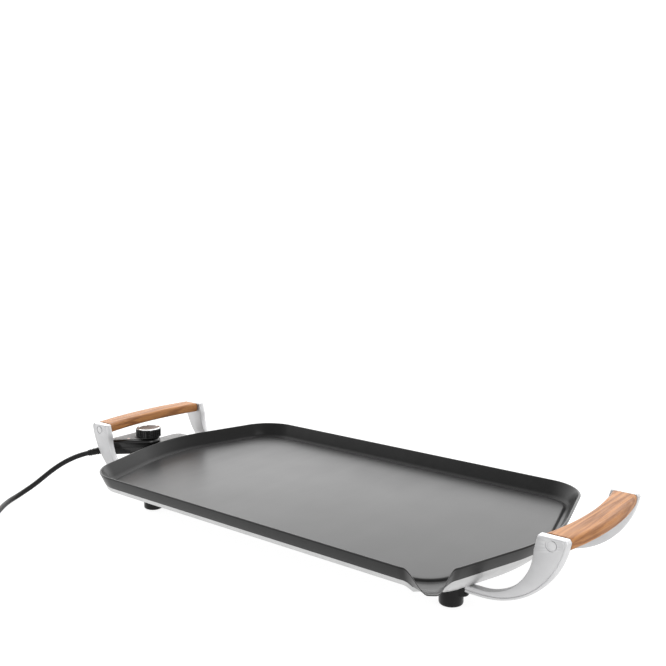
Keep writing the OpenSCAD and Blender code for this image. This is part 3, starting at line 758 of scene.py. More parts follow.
def build_plate(plate):
    """Sweeps a profile round the outline, each point as (inset, height, reach and drop at the spout)"""
    spout = spout_frame(plate)
    reach = plate.spout_reach
    low, skirt, floor = RIM_Z - 0.0225, RIM_Z - 0.016, RIM_Z - 0.0195
    top = RIM_Z - 0.0165
    profile = [
        (0.018, low, 0, 0),
        (0.013, low + 0.0014, 0, 0),
        (0.0095, skirt, 0.008, 0.0048),
        (0.007, skirt, 0.010, 0.005),
        (0.0003, RIM_Z - 0.0012, reach - 0.001, 0.0098),
        (0.0012, RIM_Z, reach, 0.010),
        (0.0028, RIM_Z, reach, 0.010),
        (0.0095, RIM_Z - 0.013, reach - 0.006, 0.0015),
        (0.011, RIM_Z - 0.0165, reach - 0.011, 0.0005),
        (0.014, floor, 0.015, -0.0005),
        (0.0175, floor, 0, 0),
        (0.020, top, 0, 0),
        (0.026, top, 0, 0),
    ]
    radii = [0.0015, 0.0008, 0.0008, 0.0008, 0.0006, 0.0008, 0.0035, 0.0030, 0.0020, 0.0015, 0.0014]
    stacks = [[plate_ring(point, plate, spout) for point in rounded(profile, radii)]]
    for x, y in PAN_BOSSES:
        stacks.append(turned((x, y, PAN_LOW.z + 0.0013), UP, arc_profile(0.006, 0.016, 0.0005), 32))
    obj = skinned("cooking_plate", stacks, "plate_coating", 40.0)
    return settle(obj, "griddle", "plate_coating", "griddle_plate")


def build_pan(plate):
    """A bowl of bent sheet with a window for the controller, two slots and its screw holes"""
    spout = spout_frame(plate)
    sheet = plate.sheet
    top_z = PAN_HIGH.z

    def floor_ring(inset, z):
        points = outline(plate.pan_length / 2 - inset, plate.pan_width / 2 - inset, plate.end_radius,
                         0.034 - inset, plate)
        return [Vector((x, y, z)) for x, y in points]

    def top_ring(inset, z):
        ring = []
        for p in drawn_in(inset, plate):
            s = spout_share(p, plate, spout)
            drop = min(1.0, 2 * s) * 0.0075
            ring.append(Vector((p[0] - s * 0.0115 * spout[1].x, p[1] - s * 0.0115 * spout[1].y, z - drop)))
        return ring

    def bowl(inset, floor_z, bend, kink):
        corner = floor_ring(inset, floor_z)
        flat = floor_ring(inset + bend, floor_z)
        neck = top_ring(*kink)
        top = top_ring(0.0072 + inset, top_z)
        wall = [c + (t - c) * min(bend / (t - c).length, 0.5) for c, t in zip(corner, neck)]
        rings = []
        for k in range(6):
            rings.append([bezier(f, c, w, k / 5) for f, c, w in zip(flat, corner, wall)])
        return rings + [neck, top]

    outer = bowl(0.0, PAN_LOW.z, 0.0032, (0.0092, top_z - 0.0055))
    inner = bowl(sheet, PAN_LOW.z + sheet, 0.0020, (0.0091 + sheet, top_z - 0.0044))
    obj = skinned("pan_shell", [outer + list(reversed(inner))], "pan_silver", 40.0)
    window_half = 0.020
    window = box_rings((-0.330, INLET_Y - window_half, PAN_LOW.z + 0.003),
                       (-0.270, INLET_Y + window_half, 0.070), 0.002)
    holes = [rod((x, y, PAN_LOW.z - 0.002), HOLE, 0.006, 24) for x, y in PAN_BOSSES + FEET]
    slots = [box_rings((x - 0.010, y - 0.0053, 0.0411), (x + 0.024, y + 0.0053, 0.0427), 0.0003)
             for x, y in ((-0.2988, 0.010), (-0.2926, 0.052))]
    carve(obj, cut=[window] + holes + slots, sharp=40.0)
    return settle(obj, "griddle", "pan_silver", "base_pan")


# ---- Handles and feet ----


def bracket_stations():
    """Pairs of points, inner and outer edge, from the root to the top, as (x, z)"""
    outer_c, outer_r = (0.270, 0.111), 0.094
    inner_c, inner_r = (0.270, 0.083), 0.057
    top = BRACKET_HIGH.z
    lean = math.asin((top - outer_c[1]) / outer_r)
    stations = [((x, PAN_LOW.z), (x, BRACKET_LOW.z)) for x in (FOOT_X, 0.247, 0.259)]
    steps = 40
    for k in range(steps + 1):
        share = k / steps
        a = math.radians(-90 + 90 * share)
        b = math.radians(-90) + (lean - math.radians(2) + math.radians(90)) * share
        stations.append(((inner_c[0] + inner_r * math.cos(a), inner_c[1] + inner_r * math.sin(a)),
                         (outer_c[0] + outer_r * math.cos(b), outer_c[1] + outer_r * math.sin(b))))
    inner, outer = stations[-1]
    end_in, end_out = (0.331, top), (outer_c[0] + outer_r * math.cos(lean) - 0.0025, top)
    for share in (0.3, 0.6, 0.85):
        stations.append((tuple(Vector(inner).lerp(Vector(end_in), share)),
                         tuple(Vector(outer).lerp(Vector(end_out), share))))
    return stations, (end_in, end_out)


def bracket_section(width, thick, handles, shrink=0.0):
    """Section across a bracket: (share across from the inner edge, depth from the outer face)"""
    groove, bead = min(handles.groove, width * 0.45), min(handles.bead, width * 0.3)
    g = width - groove
    points = [(0.0009, 0.0)]
    points += [(g - 0.0006, 0.0), (g - 0.0002, 0.0005), (g + 0.0003, 0.0006), (g + 0.0007, 0.0001)]
    for k in range(7):
        a = math.pi / 2 * k / 6
        points.append((width - bead + bead * math.sin(a), bead - bead * math.cos(a)))
    points += [(width, thick - 0.0010), (width - 0.0003, thick - 0.0003), (width - 0.0010, thick)]
    points += [(0.0010, thick), (0.0003, thick - 0.0003), (0.0, thick - 0.0010)]
    points += [(0.0, 0.0009), (0.0003, 0.0003)]
    if shrink:
        points = [(min(max(u, shrink), width - shrink), min(max(v, shrink), thick - shrink))
                  for u, v in points]
    return points


def bracket_rings(sx, sy, handles):
    """Rings of sections along a bracket, square across its crescent"""
    stations, last = bracket_stations()
    listed = [(i, o, 0.0) for i, o in stations]
    drop = 0.0006
    listed.append(((last[0][0], last[0][1] - drop), (last[1][0], last[1][1] - drop), 0.0))
    listed.append((last[0], last[1], 0.0006))
    rings = []
    for inner, outer, shrink in listed:
        inner, outer = Vector(inner), Vector(outer)
        width = (outer - inner).length
        way = (outer - inner) / width
        rings.append([
            Vector((sx * (inner.x + way.x * u), sy * (BRACKET_FACE - v), inner.y + way.y * u))
            for u, v in bracket_section(width, BRACKET_THICK, handles, shrink)])
    return rings


def build_bracket(node, sx, sy, handles):
    """A cast crescent with a grooved outer edge, its eye in the foot and a recess for the screw cap"""
    obj = skinned(node + "_casting", [bracket_rings(sx, sy, handles)], "cast_silver", 50.0)
    root = Vector((sx * FOOT_X, sy * FOOT_Y, BRACKET_LOW.z))
    eye = turned(root, UP, arc_profile(0.009, 0.009, 0.0008), 48)
    bore = rod(root - Vector((0, 0, 0.001)), HOLE, 0.012, 24)
    inwards = (0, -sy, 0)
    front = sy * (BRACKET_FACE + 0.001)
    seat = rod((sx * (GRIP_SCREW_X - 0.0009), front, GRIP_SCREW_Z), 0.0061, 0.0018, 48, inwards)
    hole = rod((sx * GRIP_SCREW_X, front, GRIP_SCREW_Z), HOLE, 0.012, 24, inwards)
    carve(obj, add=[eye], cut=[bore, seat, hole], sharp=50.0)
    return settle(obj, "griddle", "cast_silver", node)


def build_caps():
    """The four round caps over the screws at the ends of the grips"""
    stacks = []
    for sx in (-1, 1):
        for sy in (-1, 1):
            profile = [(0.0048, 0.0), (0.0048, 0.0014), (0.0046, 0.0017), (0.0042, 0.00185),
                       (0.0037, 0.0017), (0.0033, 0.0018), (0.0020, 0.0020), (0.0, 0.0020)]
            stacks.append(turned((sx * GRIP_SCREW_X, sy * (BRACKET_FACE - 0.0018), GRIP_SCREW_Z), (0, sy, 0),
                                 profile, 48))
    obj = skinned("grip_screw_caps", stacks, "cast_silver", 40.0)
    return settle(obj, "griddle", "cast_silver", "screw_caps")


def build_grip(node, sx, handles, tree):
    """A bowed wooden bar that ends at the inner side of the brackets' eyes"""
    low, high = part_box(node)
    middle_x, end_y = 0.3475, BRACKET_LOW.y
    obj = link(node + "_bar", bpy.data.meshes.new(node + "_bar"))
    grow(obj, tree, Length=2 * end_y, Width=0.028, Thickness=high.z - low.z, Edge=handles.edge,
         Bow=sx * handles.bow, Middle=(sx * middle_x, 0.0, (low.z + high.z) / 2),
         Material=FINISH["grip_wood"])
    reshade(obj, 50.0)
    return settle(obj, "griddle", "grip_wood", node)


def build_foot(node, sx, sy):
    """A turned foot with a moulded lump that holds the bracket's root"""
    x, y = sx * FOOT_X, sy * FOOT_Y
    height = FOOT_HIGH.z
    profile = [(0.0116, 0.001), (0.0121, 0.0012), (0.0126, 0.0017), (0.0130, 0.0030),
               (0.0130, height - 0.0006), (0.0127, height)]
    obj = skinned(node + "_moulding", [turned((x, y, 0), UP, profile)], "foot_black", 40.0)
    middle = sy * (BRACKET_FACE - BRACKET_THICK / 2)

    def lump_ring(inset, z):
        r = 0.0075 - inset
        # On a left foot this arc turns inwards, so its lump stays within the round of the foot
        ring = arc(sx * 0.0115, 0, r, -math.pi / 2 * sx, math.pi / 2 * sx, 20)
        ring += arc(0, 0, r, math.pi / 2 * sx, math.pi * 1.5 * sx, 20)
        return [Vector((x + px, middle + py, z)) for px, py in ring]

    lump = soft_ends(lump_ring, 0.012, height - 0.0002, 0.0026, 5)
    slot_x = sorted((x, x + sx * 0.040))
    slot_y = sorted((sy * (BRACKET_FACE + 0.0003), sy * (BRACKET_FACE - BRACKET_THICK - 0.0003)))
    slot_z = 0.0167
    slot = box_rings((slot_x[0], slot_y[0], slot_z), (slot_x[1], slot_y[1], 0.030), 0.0004)
    eye = rod((x, y, slot_z), 0.0096, 0.012, 48)
    seat = rod((x, y, 0), 0.0104, 0.004, 48)
    bore = turned((x, y, 0), UP, [(0.0046, 0), (0.0046, 0.009), (0.0023, 0.0091), (0.0023, 0.030)], 32)
    carve(obj, add=[lump], cut=[slot, eye, seat, bore], sharp=40.0)
    return settle(obj, "griddle", "foot_black", node)


def build_pads():
    """Four rubber rings, each pressed into the recess under a foot"""
    outer = [(0.0050, 0.004), (0.0050, 0.0003), (0.0053, 0.0), (0.0096, 0.0), (0.0101, 0.0005),
             (0.0102, 0.0040)]
    obj = hooped("rubber_pads", [turned((x, y, 0), UP, outer, 48) for x, y in FEET], "pad_rubber", 40.0)
    return settle(obj, "griddle", "pad_rubber", "foot_pads")


# ---- Screws ----


def screw_head(radius, height, drive):
    """A pan-headed screw seen from its head, pointing down, with a cross recess"""
    profile = [(0.0, 0.0), (radius * 0.98, 0.0), (radius, height * 0.15), (radius * 0.93, height * 0.55),
               (radius * 0.75, height * 0.85), (radius * 0.45, height * 0.98), (0.0, height)]
    obj = skinned("screw_head", [turned((0, 0, 0), (0, 0, -1), profile, 32)], "zinc_steel")
    narrow = drive * 0.28
    cross = [box_rings((-x, -y, -height * 1.4), (x, y, -height * 0.45), drive * 0.08, 2)
             for x, y in ((drive, narrow), (narrow, drive))]
    return carve(obj, cut=cross)


def build_screws(name, tree, places, radius, height, shank, length, node, body="griddle"):
    """Like screws at their places: each a head with a cross recess and a plain shank above it"""
    head = screw_head(radius, height, radius * 0.62)
    bm = bmesh.new()
    bm.from_mesh(head.data)
    skin(bm, turned((0, 0, -0.0001), UP, [(shank, 0), (shank, length), (shank * 0.8, length + 0.0004)], 20))
    bm.to_mesh(head.data)
    bm.free()
    points = bpy.data.meshes.new(name)
    points.from_pydata([Vector(p) for p in places], [], [])
    obj = link(name, points)
    grow(obj, tree, Shape=head, Material=FINISH["zinc_steel"])
    bpy.data.objects.remove(head)
    return settle(obj, body, "zinc_steel", node)


# ---- Controller ----


def controller_plan(inset, z, steps=120):
    """Outline round the controller's three rounds, drawn in"""
    rounds = [(KNOB_CENTRE, 0.017), ((-0.349, INLET_Y), 0.012), ((-0.3535, -0.068), 0.008)]
    ring = []
    for k in range(steps):
        a = 2 * math.pi * k / steps
        way = Vector((math.cos(a), math.sin(a)))
        centre, radius = max(rounds, key=lambda r: Vector(r[0]).dot(way) + r[1])
        p = Vector(centre) + way * (radius - inset)
        ring.append(Vector((p.x, p.y, z)))
    return ring


def plan_rings(profile):
    """The casing's outline at each (inset, height) of a profile"""
    return [controller_plan(inset, z) for inset, z in profile]


def build_lower_shell():
    """The casing's base with its chin, and bores for the pins, the probe and the lead"""
    deck, split = 0.0495, LOWER_HIGH.z
    profile = [(0.0020, deck), (0.0009, deck + 0.0004), (0.0003, deck + 0.0011), (0.0, deck + 0.0021),
               (0.0, split - 0.0004), (0.0004, split)]
    obj = skinned("controller_base", [plan_rings(profile)], "controller_black", 35.0)
    chin = box_rings((-0.338, INLET_Y - 0.017, LOWER_LOW.z), (-0.306, INLET_Y + 0.017, deck + 0.002), 0.0015)
    tray = plan_rings([(0.002, deck + 0.002), (0.002, split + 0.002)])
    hollow = box_rings((-0.336, INLET_Y - 0.015, 0.032), (-0.3085, INLET_Y + 0.015, deck + 0.0025), 0.0008)
    sideways = (1, 0, 0)
    pins = [rod((-0.310, INLET_Y + y, AXIS_Z), 0.0030, 0.006, 32, sideways) for y in (-0.011, 0.011)]
    probe = rod((-0.310, INLET_Y, AXIS_Z), 0.00303, 0.006, 32, sideways)
    relief = rod(RELIEF_FROM - RELIEF_DIR * 0.012, 0.0034, 0.020, 32, RELIEF_DIR)
    stepped = [(0.0028, 0), (0.0028, 0.0021), (0.0016, 0.0021), (0.0016, 0.005)]
    seats = [turned((x, y, deck - 0.001), UP, stepped, 32) for x, y in CASE_SCREWS]
    carve(obj, add=[chin], cut=[tray, hollow, probe, relief] + pins + seats, sharp=35.0)
    return settle(obj, "controller", "controller_black", "controller_lower_shell")


def build_upper_shell():
    """The casing's hollow cover with its two screw bosses"""
    split, top = UPPER_LOW.z, UPPER_HIGH.z
    profile = [(0.0004, split), (0.0, split + 0.0004), (0.0, top - 0.0045)]
    steps = 8
    for k in range(1, steps + 1):
        a = math.pi / 2 * k / steps
        profile.append((0.0045 * (1 - math.cos(a)), top - 0.0045 + 0.0045 * math.sin(a)))
    obj = skinned("controller_cover", [plan_rings(profile)], "controller_black", 35.0)
    hollow = plan_rings([(0.0045, split - 0.001), (0.0045, top - 0.002)])
    bosses = [rod((x, y, split), 0.0032, 0.009) for x, y in CASE_SCREWS]
    bores = [rod((x, y, split - 0.001), 0.00145, 0.006, 24) for x, y in CASE_SCREWS]
    bush = rod((*KNOB_CENTRE, split), 0.00502, 0.020, 48)
    lens = rod((*LENS_CENTRE, split), 0.00182, 0.020)
    carve(obj, cut=[hollow, bush, lens])
    carve(obj, add=bosses, cut=bores, sharp=35.0)
    return settle(obj, "controller", "controller_black", "controller_upper_shell")


def build_faceplate():
    """The thin pale plate on top of the cover"""
    low, high = FACE_LOW.z, FACE_HIGH.z
    obj = skinned("controller_face", [plan_rings([(0.0050, low), (0.0050, high - 0.0002), (0.0052, high)])],
                  "faceplate_silver", 35.0)
    hub = rod((*KNOB_CENTRE, low - 0.001), 0.006, 0.004, 48)
    lens = rod((*LENS_CENTRE, low - 0.001), 0.0024, 0.004)
    carve(obj, cut=[hub, lens], sharp=35.0)
    return settle(obj, "controller", "faceplate_silver", "controller_faceplate")


def build_lens():
    """The pilot lamp: a stem with a domed head"""
    top = LENS_HIGH.z
    profile = [(0.0018, LENS_LOW.z), (0.0018, top - 0.0012), (0.0022, top - 0.0012), (0.00215, top - 0.0007),
               (0.0017, top - 0.0003), (0.0009, top - 0.00005), (0.0, top)]
    obj = skinned("pilot_lamp", [turned((*LENS_CENTRE, 0), UP, profile, 40)], "pilot_lens", 40.0)
    return settle(obj, "controller", "pilot_lens", "pilot_lens")


def build_knob(control, tree):
    """A turned knob with upright ribs round it"""
    radius = (KNOB_HIGH.x - KNOB_LOW.x) / 2
    low, top = KNOB_LOW.z, KNOB_HIGH.z
    core = radius - control.rib_depth
    hub, bore, roof = 0.0060, 0.0031, low + 0.0090
    underside = [(0.0, low + 0.0100), (bore, low + 0.0100), (bore, low), (hub, low), (hub, roof),
                 (radius - 0.003, roof), (radius - 0.003, low)]
    skirt = [(radius - 0.0007, low), (radius - 0.0002, low + 0.0003), (radius, low + 0.0008),
             (radius, low + 0.0013), (core, low + 0.0017)]
    crown = [(core, top - 0.0021), (radius - 0.0003, top - 0.0016), (radius - 0.0004, top - 0.0010),
             (radius - 0.0008, top - 0.0004), (radius - 0.0014, top - 0.0006),
             (radius - 0.0014, top - 0.0016), (0.0, top - 0.0016)]
    profile = underside + skirt + crown
    obj = skinned("temperature_knob", [turned((*KNOB_CENTRE, 0), UP, profile, 96)], "knob_black", 40.0)
    height = top - low - 0.0031
    grow(obj, tree, Count=control.ribs, Radius=core - 0.0001, **{"Rib Radius": 0.0009}, Height=height,
         Centre=(*KNOB_CENTRE, low + 0.0013 + height / 2), Material=FINISH["knob_black"])
    return settle(obj, "knob_group", "knob_black", "knob")


def build_knob_trim():
    """The bright ring and the pale disc on top of the knob"""
    low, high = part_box("knob_trim_ring")
    radius = (high.x - low.x) / 2
    z = low.z
    half = [(radius - 0.0020, z), (radius, z), (radius, z + 0.0009)]
    for k in range(7):
        a = math.pi * k / 6
        half.append((radius - 0.0010 + 0.0010 * math.cos(a), z + 0.0009 + 0.0007 * math.sin(a)))
    ring = hooped("knob_ring", [turned((*KNOB_CENTRE, 0), UP, half, 96)], "trim_chrome", 60.0)
    settle(ring, "knob_group", "trim_chrome", "knob_trim_ring")
    low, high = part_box("knob_dial")
    radius, top = (high.x - low.x) / 2, high.z
    profile = [(radius, low.z), (radius, top - 0.0003), (radius * 0.97, top - 0.0001), (radius * 0.6, top),
               (0.0, top)]
    dial = skinned("knob_disc", [turned((*KNOB_CENTRE, 0), UP, profile, 96)], "dial_pale", 40.0)
    return settle(dial, "knob_group", "dial_pale", "knob_dial")


# ---- Lead ----


def build_relief():
    """Tapered strain relief with rings round it"""
    rings_at = (0.0062, 0.0112, 0.0162, 0.0212)
    wide, length, step = 0.0056, 0.026, 0.0005
    profile = [(0.0, 0.0), (wide, 0.0)]
    count = int(length / step)
    for k in range(1, count):
        z = k * step
        radius = wide - 0.0013 * z / length
        for start in rings_at:
            t = (z - start) / 0.0020
            if 0 <= t <= 1:
                radius = wide - 0.045 * start + 0.0001 * math.sin(math.pi * t)
            elif -0.35 < t < 0 or 1 < t < 1.35:
                radius = radius - 0.0004
        profile.append((radius, z))
    profile += [(0.0041, length - 0.0002), (0.0037, length), (0.00352, length), (0.00352, length - 0.0018),
                (0.0, length - 0.0018)]
    obj = skinned("lead_relief", [turned(RELIEF_FROM, RELIEF_DIR, profile, 48)], "lead_black", 40.0)
    return settle(obj, "controller", "lead_black", "strain_relief")


def coil_points(lead_r):
    """Two layers of turns, in to the middle and out again, then off to the plug"""
    centre, leave = COIL_CENTRE, LEAVE_ANGLE
    start = math.radians(35.6)
    out_r = COIL_RADIUS - lead_r
    total = start + 4 * 2 * math.pi - leave
    low_z, high_z = COIL_LOW.z + lead_r + 0.0001, COIL_HIGH.z - lead_r
    half = total / 2
    count = 60
    points = []
    for k in range(count + 1):
        turned_by = total * k / count
        inward = min(turned_by, total - turned_by)
        radius = out_r - 2 * lead_r * inward / (2 * math.pi)
        climb = min(max((turned_by - half) / 1.4 + 0.5, 0.0), 1.0)
        z = low_z + (high_z - low_z) * climb * climb * (3 - 2 * climb)
        a = start - turned_by
        points.append((centre.x + radius * math.cos(a), centre.y + radius * math.sin(a), z))
    way = Vector((math.sin(leave), -math.cos(leave), 0))
    end = Vector(points[-1]) + way * 0.027
    end.z = PLUG_Z
    middle = Vector(points[-1]).lerp(end, 0.5)
    return points + [tuple(middle), tuple(end)]


def curve_length(curve_obj):
    """Length of a curve's centreline, from a copy with no thickness"""
    data = curve_obj.data.copy()
    data.bevel_depth = 0.0
    bare = link("bare_line", data)
    bpy.context.view_layer.update()
    graph = bpy.context.evaluated_depsgraph_get()
    mesh = bpy.data.meshes.new_from_object(bare.evaluated_get(graph), depsgraph=graph)
    total = sum((mesh.vertices[a].co - mesh.vertices[b].co).length
                for a, b in (edge.vertices for edge in mesh.edges))
    bpy.data.meshes.remove(mesh)
    bpy.data.objects.remove(bare)
    return total


def build_lead(lead):
    """The lead as one thick curve through its route and its coil"""
    radius = lead.diameter / 2
    points = [tuple(RELIEF_FROM + RELIEF_DIR * 0.0245)] + ROUTE + coil_points(radius)
    data = bpy.data.curves.new("mains_lead", "CURVE")
    data.dimensions = "3D"
    data.bevel_depth = radius
    data.bevel_resolution = 5
    data.use_fill_caps = True
    data.resolution_u = 5
    spline = data.splines.new("BEZIER")
    spline.bezier_points.add(len(points) - 1)
    for knot, place in zip(spline.bezier_points, points):
        knot.co = place
        knot.handle_left_type = knot.handle_right_type = "AUTO"
    data.materials.append(FINISH["lead_black"])
    obj = link("mains_lead", data)
    bpy.context.view_layer.update()
    settle(obj, "controller", "lead_black", "cord", "cord_coil")
    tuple(points[0])
    round(curve_length(obj), 3)
    return obj


def build_tie():
    """A rectangular band round the coil"""
    inner_r, outer_r = 0.0255, COIL_RADIUS
    mid, half = (inner_r + outer_r) / 2, (outer_r - inner_r) / 2 + 0.0001
    high = (COIL_HIGH.z - COIL_LOW.z) / 2 + 0.0001
    turn = (Matrix.Translation(COIL_CENTRE) @ Matrix.Rotation(math.radians(120), 4, "Z")
            @ Matrix.Translation((mid, 0, 0)))

    def loop(grow_by, y):
        return [turn @ Vector((x, y, z))
                for x, z in soft_rectangle(half + grow_by, high + grow_by, 0.0015 + grow_by, 4)]

    rings = [loop(0.0, -0.0025), loop(0.0, 0.0025), loop(0.0007, 0.0025), loop(0.0009, 0.0021),
             loop(0.0009, -0.0021), loop(0.0007, -0.0025)]
    obj = hooped("lead_tie", [rings], "tie_black", 50.0)
    return settle(obj, "controller", "tie_black", "cord_tie")


def plug_matrix(lead_r):
    """Where the plug lies, off the coil's last turn and in line with it"""
    radius = COIL_RADIUS - lead_r
    c, s = math.cos(LEAVE_ANGLE), math.sin(LEAVE_ANGLE)
    x = COIL_CENTRE.x + radius * c + 0.025 * s
    y = COIL_CENTRE.y + radius * s - 0.025 * c
    return Matrix.Translation((x, y, PLUG_Z)) @ Matrix.Rotation(LEAVE_ANGLE - math.pi / 2, 4, "Z")


def build_plug(lead):
    """Moulded two-pin plug: a ringed boot that swells into a rounded body"""
    turn = plug_matrix(lead.diameter / 2)

    def section(x, half_y, half_z, power):
        ring = []
        for k in range(40):
            a = 2 * math.pi * k / 40
            c, s = math.cos(a), math.sin(a)
            ring.append(turn @ Vector((x, half_y * math.copysign(abs(c) ** (2 / power), c),
                                       half_z * math.copysign(abs(s) ** (2 / power), s))))
        return ring

    rings = [section(0.0, 0.0036, 0.0036, 2)]
    for k in range(6):
        x = 0.0006 + 0.003 * k
        r = 0.0042 + 0.0018 * x / 0.018
        neck = r - 0.0006
        rings += [section(x, r, r, 2), section(x + 0.0018, r, r, 2),
                  section(x + 0.0020, neck, neck, 2), section(x + 0.0027, neck, neck, 2)]
    rings += [section(0.0190, 0.0078, 0.0062, 2.4), section(0.0215, 0.0098, 0.0076, 2.8),
              section(0.0250, 0.0114, 0.0086, 3.2), section(0.0290, 0.0119, 0.0089, 3.6),
              section(0.0400, 0.0119, 0.0089, 4.2), section(0.0440, 0.0112, 0.0082, 4.2),
              section(0.0448, 0.0104, 0.0075, 4.2)]
    body = skinned("plug_moulding", [rings], "lead_black", 40.0)
    settle(body, "controller", "lead_black", "plug_body")
    stacks = []
    for y in (-0.00635, 0.00635):
        blade = []
        for x, shrink in ((0.0445, 0.0), (0.0596, 0.0), (0.0610, 0.0005)):
            half_y, half_z = 0.00075 - shrink, 0.00315 - shrink
            blade.append([turn @ Vector((x, y + dy * half_y, dz * half_z))
                          for dy, dz in ((-1, -1), (1, -1), (1, 1), (-1, 1))])
        stacks.append(blade)
    pins = skinned("plug_pins", stacks, "nickel_pins")
    return settle(pins, "controller", "nickel_pins", "plug_blades")


def finish_node(node, finish):
    """Give a frame node that keeps its own shape its material"""
    obj = frame["nodes"][node]
    obj.data.materials.clear()
    obj.data.materials.append(FINISH[finish])


# ---- Stage ----


def build_floor(stage):
    """A wide pale floor that glows a little, so that it reads as white"""
    f = Finish("studio_floor", stage.floor, 0.9)
    cloud = f.noise(3.0, detail=1.0)
    f.set(f.shader, {
        "Base Color": f.mix(f.span(cloud, 0.0, 1.0), stage.floor, [c * 0.99 for c in stage.floor]),
        "Specular IOR Level": 0.0,
        "Emission Color": (1.0, 1.0, 1.0, 1.0),
        "Emission Strength": 0.90,
    })
    half = 60.0
    mesh = bpy.data.meshes.new("studio_floor")
    corners = [(-half, -half, 0), (half, -half, 0), (half, half, 0), (-half, half, 0)]
    mesh.from_pydata(corners, [], [(0, 1, 2, 3)])
    mesh.materials.append(f.material)
    link("studio_floor", mesh)


def build_surroundings(stage):
    """White all round: brightest low at the back, dimmest high at the front"""
    world = bpy.data.worlds.new("studio")
    world.use_nodes = True
    n = Nodes(world.node_tree)
    way = n.add("ShaderNodeTexCoord").outputs["Generated"]
    toward = n.add("ShaderNodeVectorMath", operation="DOT_PRODUCT")
    n.feed(toward.inputs[0], way)
    n.feed(toward.inputs[1], Vector(stage.bright_way).normalized())
    height = n.add("ShaderNodeSeparateXYZ", {"Vector": way}).outputs["Z"]
    smooth = {"interpolation_type": "SMOOTHSTEP"}
    from_back = n.span(toward.outputs["Value"], stage.sky, stage.glow, -0.25, 0.75, **smooth)
    from_low = n.span(height, stage.horizon, 0.0, 0.32, 0.50, **smooth)
    n.set(n.tree.nodes["Background"], {
        "Color": (1.0, 1.0, 1.0, 1.0), "Strength": n.math("MAXIMUM", from_back, from_low)})
    bpy.context.scene.world = world
    bpy.context.scene.view_settings.view_transform = "Standard"


def soft_light(name, place, target, size, power):
    """An area light that points at a target"""
    data = bpy.data.lights.new(name, "AREA")
    data.shape = "RECTANGLE"
    data.size, data.size_y = size
    data.energy = power
    obj = link(name, data)
    obj.location = place
    obj.rotation_euler = (Vector(target) - Vector(place)).to_track_quat("-Z", "Y").to_euler()
    return obj


def build_camera(stage):
    """The camera at its one fixed place"""
    data = bpy.data.cameras.new("view")
    data.lens = stage.lens
    data.sensor_width = 36.0
    data.clip_end = 300.0
    obj = link("view", data)
    obj.location = (0.7098, -0.8762, 0.4251)
    obj.rotation_euler = (math.radians(81.26), 0.0, math.radians(38.86))
    bpy.context.scene.camera = obj


# ---- Operators ----


class GRIDDLE_OT_stage(bpy.types.Operator):
    """Makes the camera, the floor and the soft light"""

    bl_idname = "griddle.build_stage"
    bl_label = "Stage"

    def execute(self, context):
        settings = context.scene.griddle_stage
        build_camera(settings)
        build_surroundings(settings)
        build_floor(settings)
        soft_light("top_light", (-0.3, 0.9, 1.9), (0, 0, 0), (2.2, 1.4), 5.0)
        soft_light("side_light", (1.9, -0.5, 0.9), (0, 0, 0), (1.2, 1.2), 12.0)
        return {"FINISHED"}


class GRIDDLE_OT_finishes(bpy.types.Operator):
    """Makes every material and gives it to the frame pieces that keep their own shape"""

    bl_idname = "griddle.build_finishes"
    bl_label = "Materials"

    def execute(self, context):
        FINISH.update(make_finishes(context.scene.griddle_finish))
        slots = {part["node"]: part["material_slot"] for part in frame["record"]["subparts"]}
        for node in frame["nodes"]:
            finish_node(node, slots[node])
        return {"FINISHED"}


class GRIDDLE_OT_lead(bpy.types.Operator):
    """Makes the strain relief, the lead with its coil, the tie and the plug"""

    bl_idname = "griddle.build_lead"
    bl_label = "Lead and plug"

    def execute(self, context):
        lead = context.scene.griddle_lead
        build_relief()
        build_tie()
        build_plug(lead)
        build_lead(lead)
        return {"FINISHED"}


class GRIDDLE_OT_plate(bpy.types.Operator):
    """Makes the cooking plate with its gutter and spout"""

    bl_idname = "griddle.build_plate"
    bl_label = "Cooking plate"

    def execute(self, context):
        build_plate(context.scene.griddle_plate)
        return {"FINISHED"}


class GRIDDLE_OT_pan(bpy.types.Operator):
    """Makes the sheet-metal pan under the plate"""

    bl_idname = "griddle.build_pan"
    bl_label = "Base pan"

    def execute(self, context):
        build_pan(context.scene.griddle_plate)
        return {"FINISHED"}


class GRIDDLE_OT_handles(bpy.types.Operator):
    """Makes the four brackets, their screw caps and the two wooden grips"""

    bl_idname = "griddle.build_handles"
    bl_label = "Brackets and grips"

    def execute(self, context):
        handles = context.scene.griddle_handles
        tree = bowed_bar_tree()
        for side, sx in (("left", -1), ("right", 1)):
            for end, sy in (("front", -1), ("back", 1)):
                build_bracket(f"bracket_{end}_{side}", sx, sy, handles)
            build_grip(f"grip_{side}", sx, handles, tree)
        build_caps()
        return {"FINISHED"}


class GRIDDLE_OT_feet(bpy.types.Operator):
    """Makes the four feet and their rubber pads"""

    bl_idname = "griddle.build_feet"
    bl_label = "Feet"

    def execute(self, context):
        for side, sx in (("left", -1), ("right", 1)):
            for end, sy in (("front", -1), ("back", 1)):
                build_foot(f"foot_{end}_{side}", sx, sy)
        build_pads()
        return {"FINISHED"}


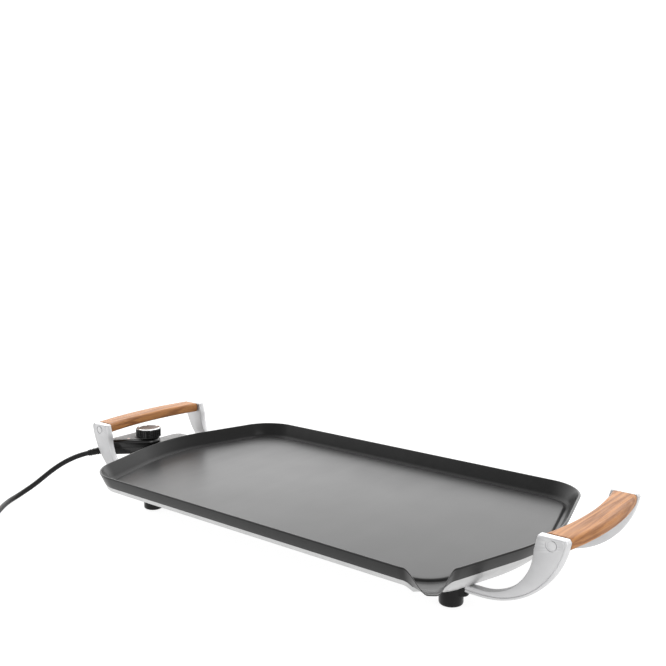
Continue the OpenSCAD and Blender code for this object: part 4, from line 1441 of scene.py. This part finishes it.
class GRIDDLE_OT_screws(bpy.types.Operator):
    """Makes the screws that show on the underside"""

    bl_idname = "griddle.build_screws"
    bl_label = "Screws"

    def execute(self, context):
        tree = copies_tree()
        z = PAN_LOW.z
        build_screws("pan_fixings", tree, [(x, y, z) for x, y in PAN_BOSSES], 0.004, 0.0022, 0.002, 0.011,
                     "pan_screws")
        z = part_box("shelf_screws")[0].z + 0.0018
        build_screws("shelf_fixings", tree, [(x, y, z) for x, y in SHELF_SCREWS], 0.0028, 0.0018, 0.0015,
                     0.0046, "shelf_screws")
        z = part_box("controller_screws")[0].z + 0.0014
        build_screws("casing_fixings", tree, [(x, y, z) for x, y in CASE_SCREWS], 0.0026, 0.0014, 0.0014,
                     0.0132, "controller_screws", "controller")
        return {"FINISHED"}


class GRIDDLE_OT_controller(bpy.types.Operator):
    """Makes the controller's casing, its face and pilot lamp"""

    bl_idname = "griddle.build_controller"
    bl_label = "Controller casing"

    def execute(self, context):
        build_lower_shell()
        build_upper_shell()
        build_faceplate()
        build_lens()
        return {"FINISHED"}


class GRIDDLE_OT_knob(bpy.types.Operator):
    """Makes the ribbed temperature knob, its bright ring and its disc"""

    bl_idname = "griddle.build_knob"
    bl_label = "Temperature knob"

    def execute(self, context):
        build_knob(context.scene.griddle_controller, ribs_round_tree())
        build_knob_trim()
        return {"FINISHED"}


STEPS = (
    GRIDDLE_OT_stage, GRIDDLE_OT_finishes, GRIDDLE_OT_lead, GRIDDLE_OT_plate, GRIDDLE_OT_pan,
    GRIDDLE_OT_handles, GRIDDLE_OT_feet, GRIDDLE_OT_screws, GRIDDLE_OT_controller, GRIDDLE_OT_knob,
)


class GRIDDLE_PT_build(bpy.types.Panel):
    """Lists the steps that build the griddle"""

    bl_idname = "GRIDDLE_PT_build"
    bl_label = "Griddle"
    bl_space_type = "VIEW_3D"
    bl_region_type = "UI"
    bl_category = "Griddle"

    def draw(self, context):
        for step in STEPS:
            self.layout.operator(step.bl_idname)


SETTINGS = {
    "griddle_plate": PlateSettings,
    "griddle_handles": HandleSettings,
    "griddle_controller": ControllerSettings,
    "griddle_finish": FinishSettings,
    "griddle_lead": LeadSettings,
    "griddle_stage": StageSettings,
}


def register():
    for group in SETTINGS.values():
        bpy.utils.register_class(group)
    for name, group in SETTINGS.items():
        setattr(bpy.types.Scene, name, PointerProperty(type=group))
    for step in STEPS:
        bpy.utils.register_class(step)
    bpy.utils.register_class(GRIDDLE_PT_build)


def unregister():
    bpy.utils.unregister_class(GRIDDLE_PT_build)
    for step in reversed(STEPS):
        bpy.utils.unregister_class(step)
    for name, group in SETTINGS.items():
        delattr(bpy.types.Scene, name)
        bpy.utils.unregister_class(group)


def main():
    register()
    for step in STEPS:
        family, name = step.bl_idname.split(".")
        getattr(getattr(bpy.ops, family), name)()


if __name__ == "__main__":
    main()
